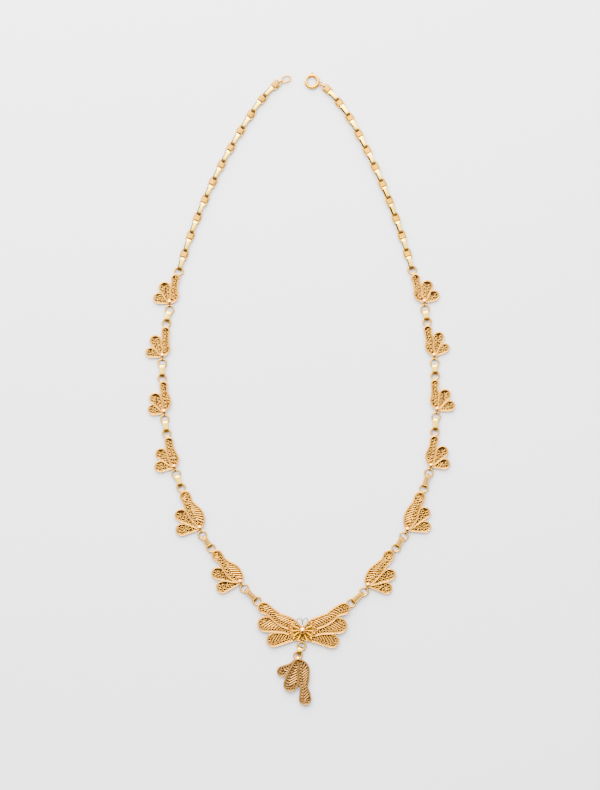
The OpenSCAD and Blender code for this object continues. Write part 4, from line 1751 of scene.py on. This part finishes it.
@dataclass
class Studio:
    """Pale floor, soft light and a camera straight above."""

    centre: Vector = field(default_factory=lambda: Vector((-0.00008, -0.00216, 0.0008)))
    frame_height: float = 0.2765
    camera_height: float = 1.0
    sensor: float = 36.0
    bright_side: Row = (-0.08, 0.62, 0.78)
    bright_span: Point = (-0.1, 0.85)
    bright_power: Point = (0.03, 4.2)
    dark_side: Row = (0.05, -0.62, 0.78)
    dark_span: Point = (0.8, 0.92)
    dark_share: Point = (1.0, 0.03)
    sky_tint: Colour = (1.0, 0.99, 0.99)
    window_at: Vector = field(default_factory=lambda: Vector((-0.08, 0.4, 0.36)))
    window_size: float = 0.7
    window_power: float = 20.0
    window_tint: Colour = (1.0, 0.99, 0.98)
    floor_size: float = 3.0
    paper: Colour = (0.72, 0.715, 0.73)
    paper_roughness: float = 0.8

    def floor(self) -> None:
        """Lays the floor."""
        mesh = bpy.data.meshes.new("floor")
        bm = bmesh.new()
        bmesh.ops.create_grid(bm, x_segments=1, y_segments=1, size=self.floor_size)
        bm.to_mesh(mesh)
        bm.free()
        floor = bpy.data.objects.new("floor", mesh)
        bpy.context.scene.collection.objects.link(floor)
        paper = bpy.data.materials.new("pale_paper")
        paper.use_nodes = True
        shader = paper.node_tree.nodes["Principled BSDF"]
        shader.inputs["Base Color"].default_value = (*self.paper, 1.0)
        shader.inputs["Roughness"].default_value = self.paper_roughness
        mesh.materials.append(paper)

    def sky(self) -> None:
        """Sets the world: bright towards the window, with a dark patch across from it."""
        world = bpy.data.worlds.new("soft_world")
        world.use_nodes = True
        tree = world.node_tree
        place = add_node(tree, "ShaderNodeTexCoord", {}).outputs["Generated"]
        shares = []
        for way, span, result in (
            (self.bright_side, self.bright_span, self.bright_power),
            (self.dark_side, self.dark_span, self.dark_share),
        ):
            inputs = {0: place, 1: Vector(way).normalized()}
            towards = add_node(tree, "ShaderNodeVectorMath", inputs, operation="DOT_PRODUCT")
            shares.append(ramp(tree, towards.outputs["Value"], *span, result))
        back = tree.nodes["Background"]
        back.inputs["Color"].default_value = (*self.sky_tint, 1.0)
        tree.links.new(reckon(tree, "MULTIPLY", *shares), back.inputs["Strength"])
        bpy.context.scene.world = world

    def window(self) -> None:
        """Hangs the soft square light that faces the necklace."""
        data = bpy.data.lights.new("window", "AREA")
        data.size = self.window_size
        data.energy = self.window_power
        data.color = self.window_tint
        lamp = bpy.data.objects.new("window", data)
        lamp.location = self.window_at
        lamp.rotation_euler = (self.centre - self.window_at).to_track_quat("-Z", "Y").to_euler()
        bpy.context.scene.collection.objects.link(lamp)

    def camera(self) -> None:
        """Sets the camera at the photo's angle."""
        data = bpy.data.cameras.new("camera")
        data.sensor_width = self.sensor
        data.lens = self.sensor * self.camera_height / self.frame_height
        camera = bpy.data.objects.new("camera", data)
        camera.location = self.centre + Vector((0, 0, self.camera_height))
        bpy.context.scene.collection.objects.link(camera)
        bpy.context.scene.camera = camera


def dress_nodes(frame: dict) -> None:
    """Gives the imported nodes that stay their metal.
    """
    for node in frame["nodes"].values():
        node.data.materials.clear()
        node.data.materials.append(LINK_GOLD.material())


def build_side(side: str) -> None:
    """Builds the plaques of one side, with the ring and the box link under each.

    Args:
        side: left or right.
    """
    row = plaques(side)
    targets = [*(plaque.ring for plaque in row[1:]), WING_RINGS[side]]
    for i, (plaque, target) in enumerate(zip(row, targets), 1):
        plaque.build()
        JumpRing(f"ring_{side}_{i}", plaque.free_ring()).build()
        framed = i in FRAMED_LINKS[side]
        BoxLink(f"link_{side}_{i}", plaque.free_ring(), Vector(target), framed).build()


def build_clasp_links() -> None:
    """Builds the end ring, and the small links that join it and the clasp to the chains."""
    end_ring = EndRing()
    end_ring.build()
    SmallLink("end_link", LEFT_CHAIN.end_wire(), end_ring.inner_end()).build()
    eye = CLASP_AT + polar(CLASP_EYE_OUT, CLASP_EYE_HEADING)
    eye_wire = eye + polar(CLASP_EYE_RADIUS, bearing(eye, RIGHT_CHAIN.end()[0]))
    SmallLink("clasp_link", eye_wire, RIGHT_CHAIN.end_wire(), CLASP_LINK_Z).build()


def main() -> None:
    """Builds the necklace's pieces in order."""
    logging.basicConfig(level=logging.INFO, format="%(message)s")
    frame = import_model()
    dress_nodes(frame)
    for side in PLAQUES:
        build_side(side)
    for chain in (LEFT_CHAIN, RIGHT_CHAIN):
        chain.build()
    build_clasp_links()
    for piece in (Butterfly(), Rosette(), Antennae(), Drop()):
        piece.build()
    JumpRing("drop_ring", DROP_JUMP).build()
    BoxLink("drop_link", DROP_JUMP, DROP_TOP, both_ends_dark=True).build()
    studio = Studio()
    studio.floor()
    studio.sky()
    studio.window()
    studio.camera()
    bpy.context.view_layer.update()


if __name__ == "__main__":
    main()
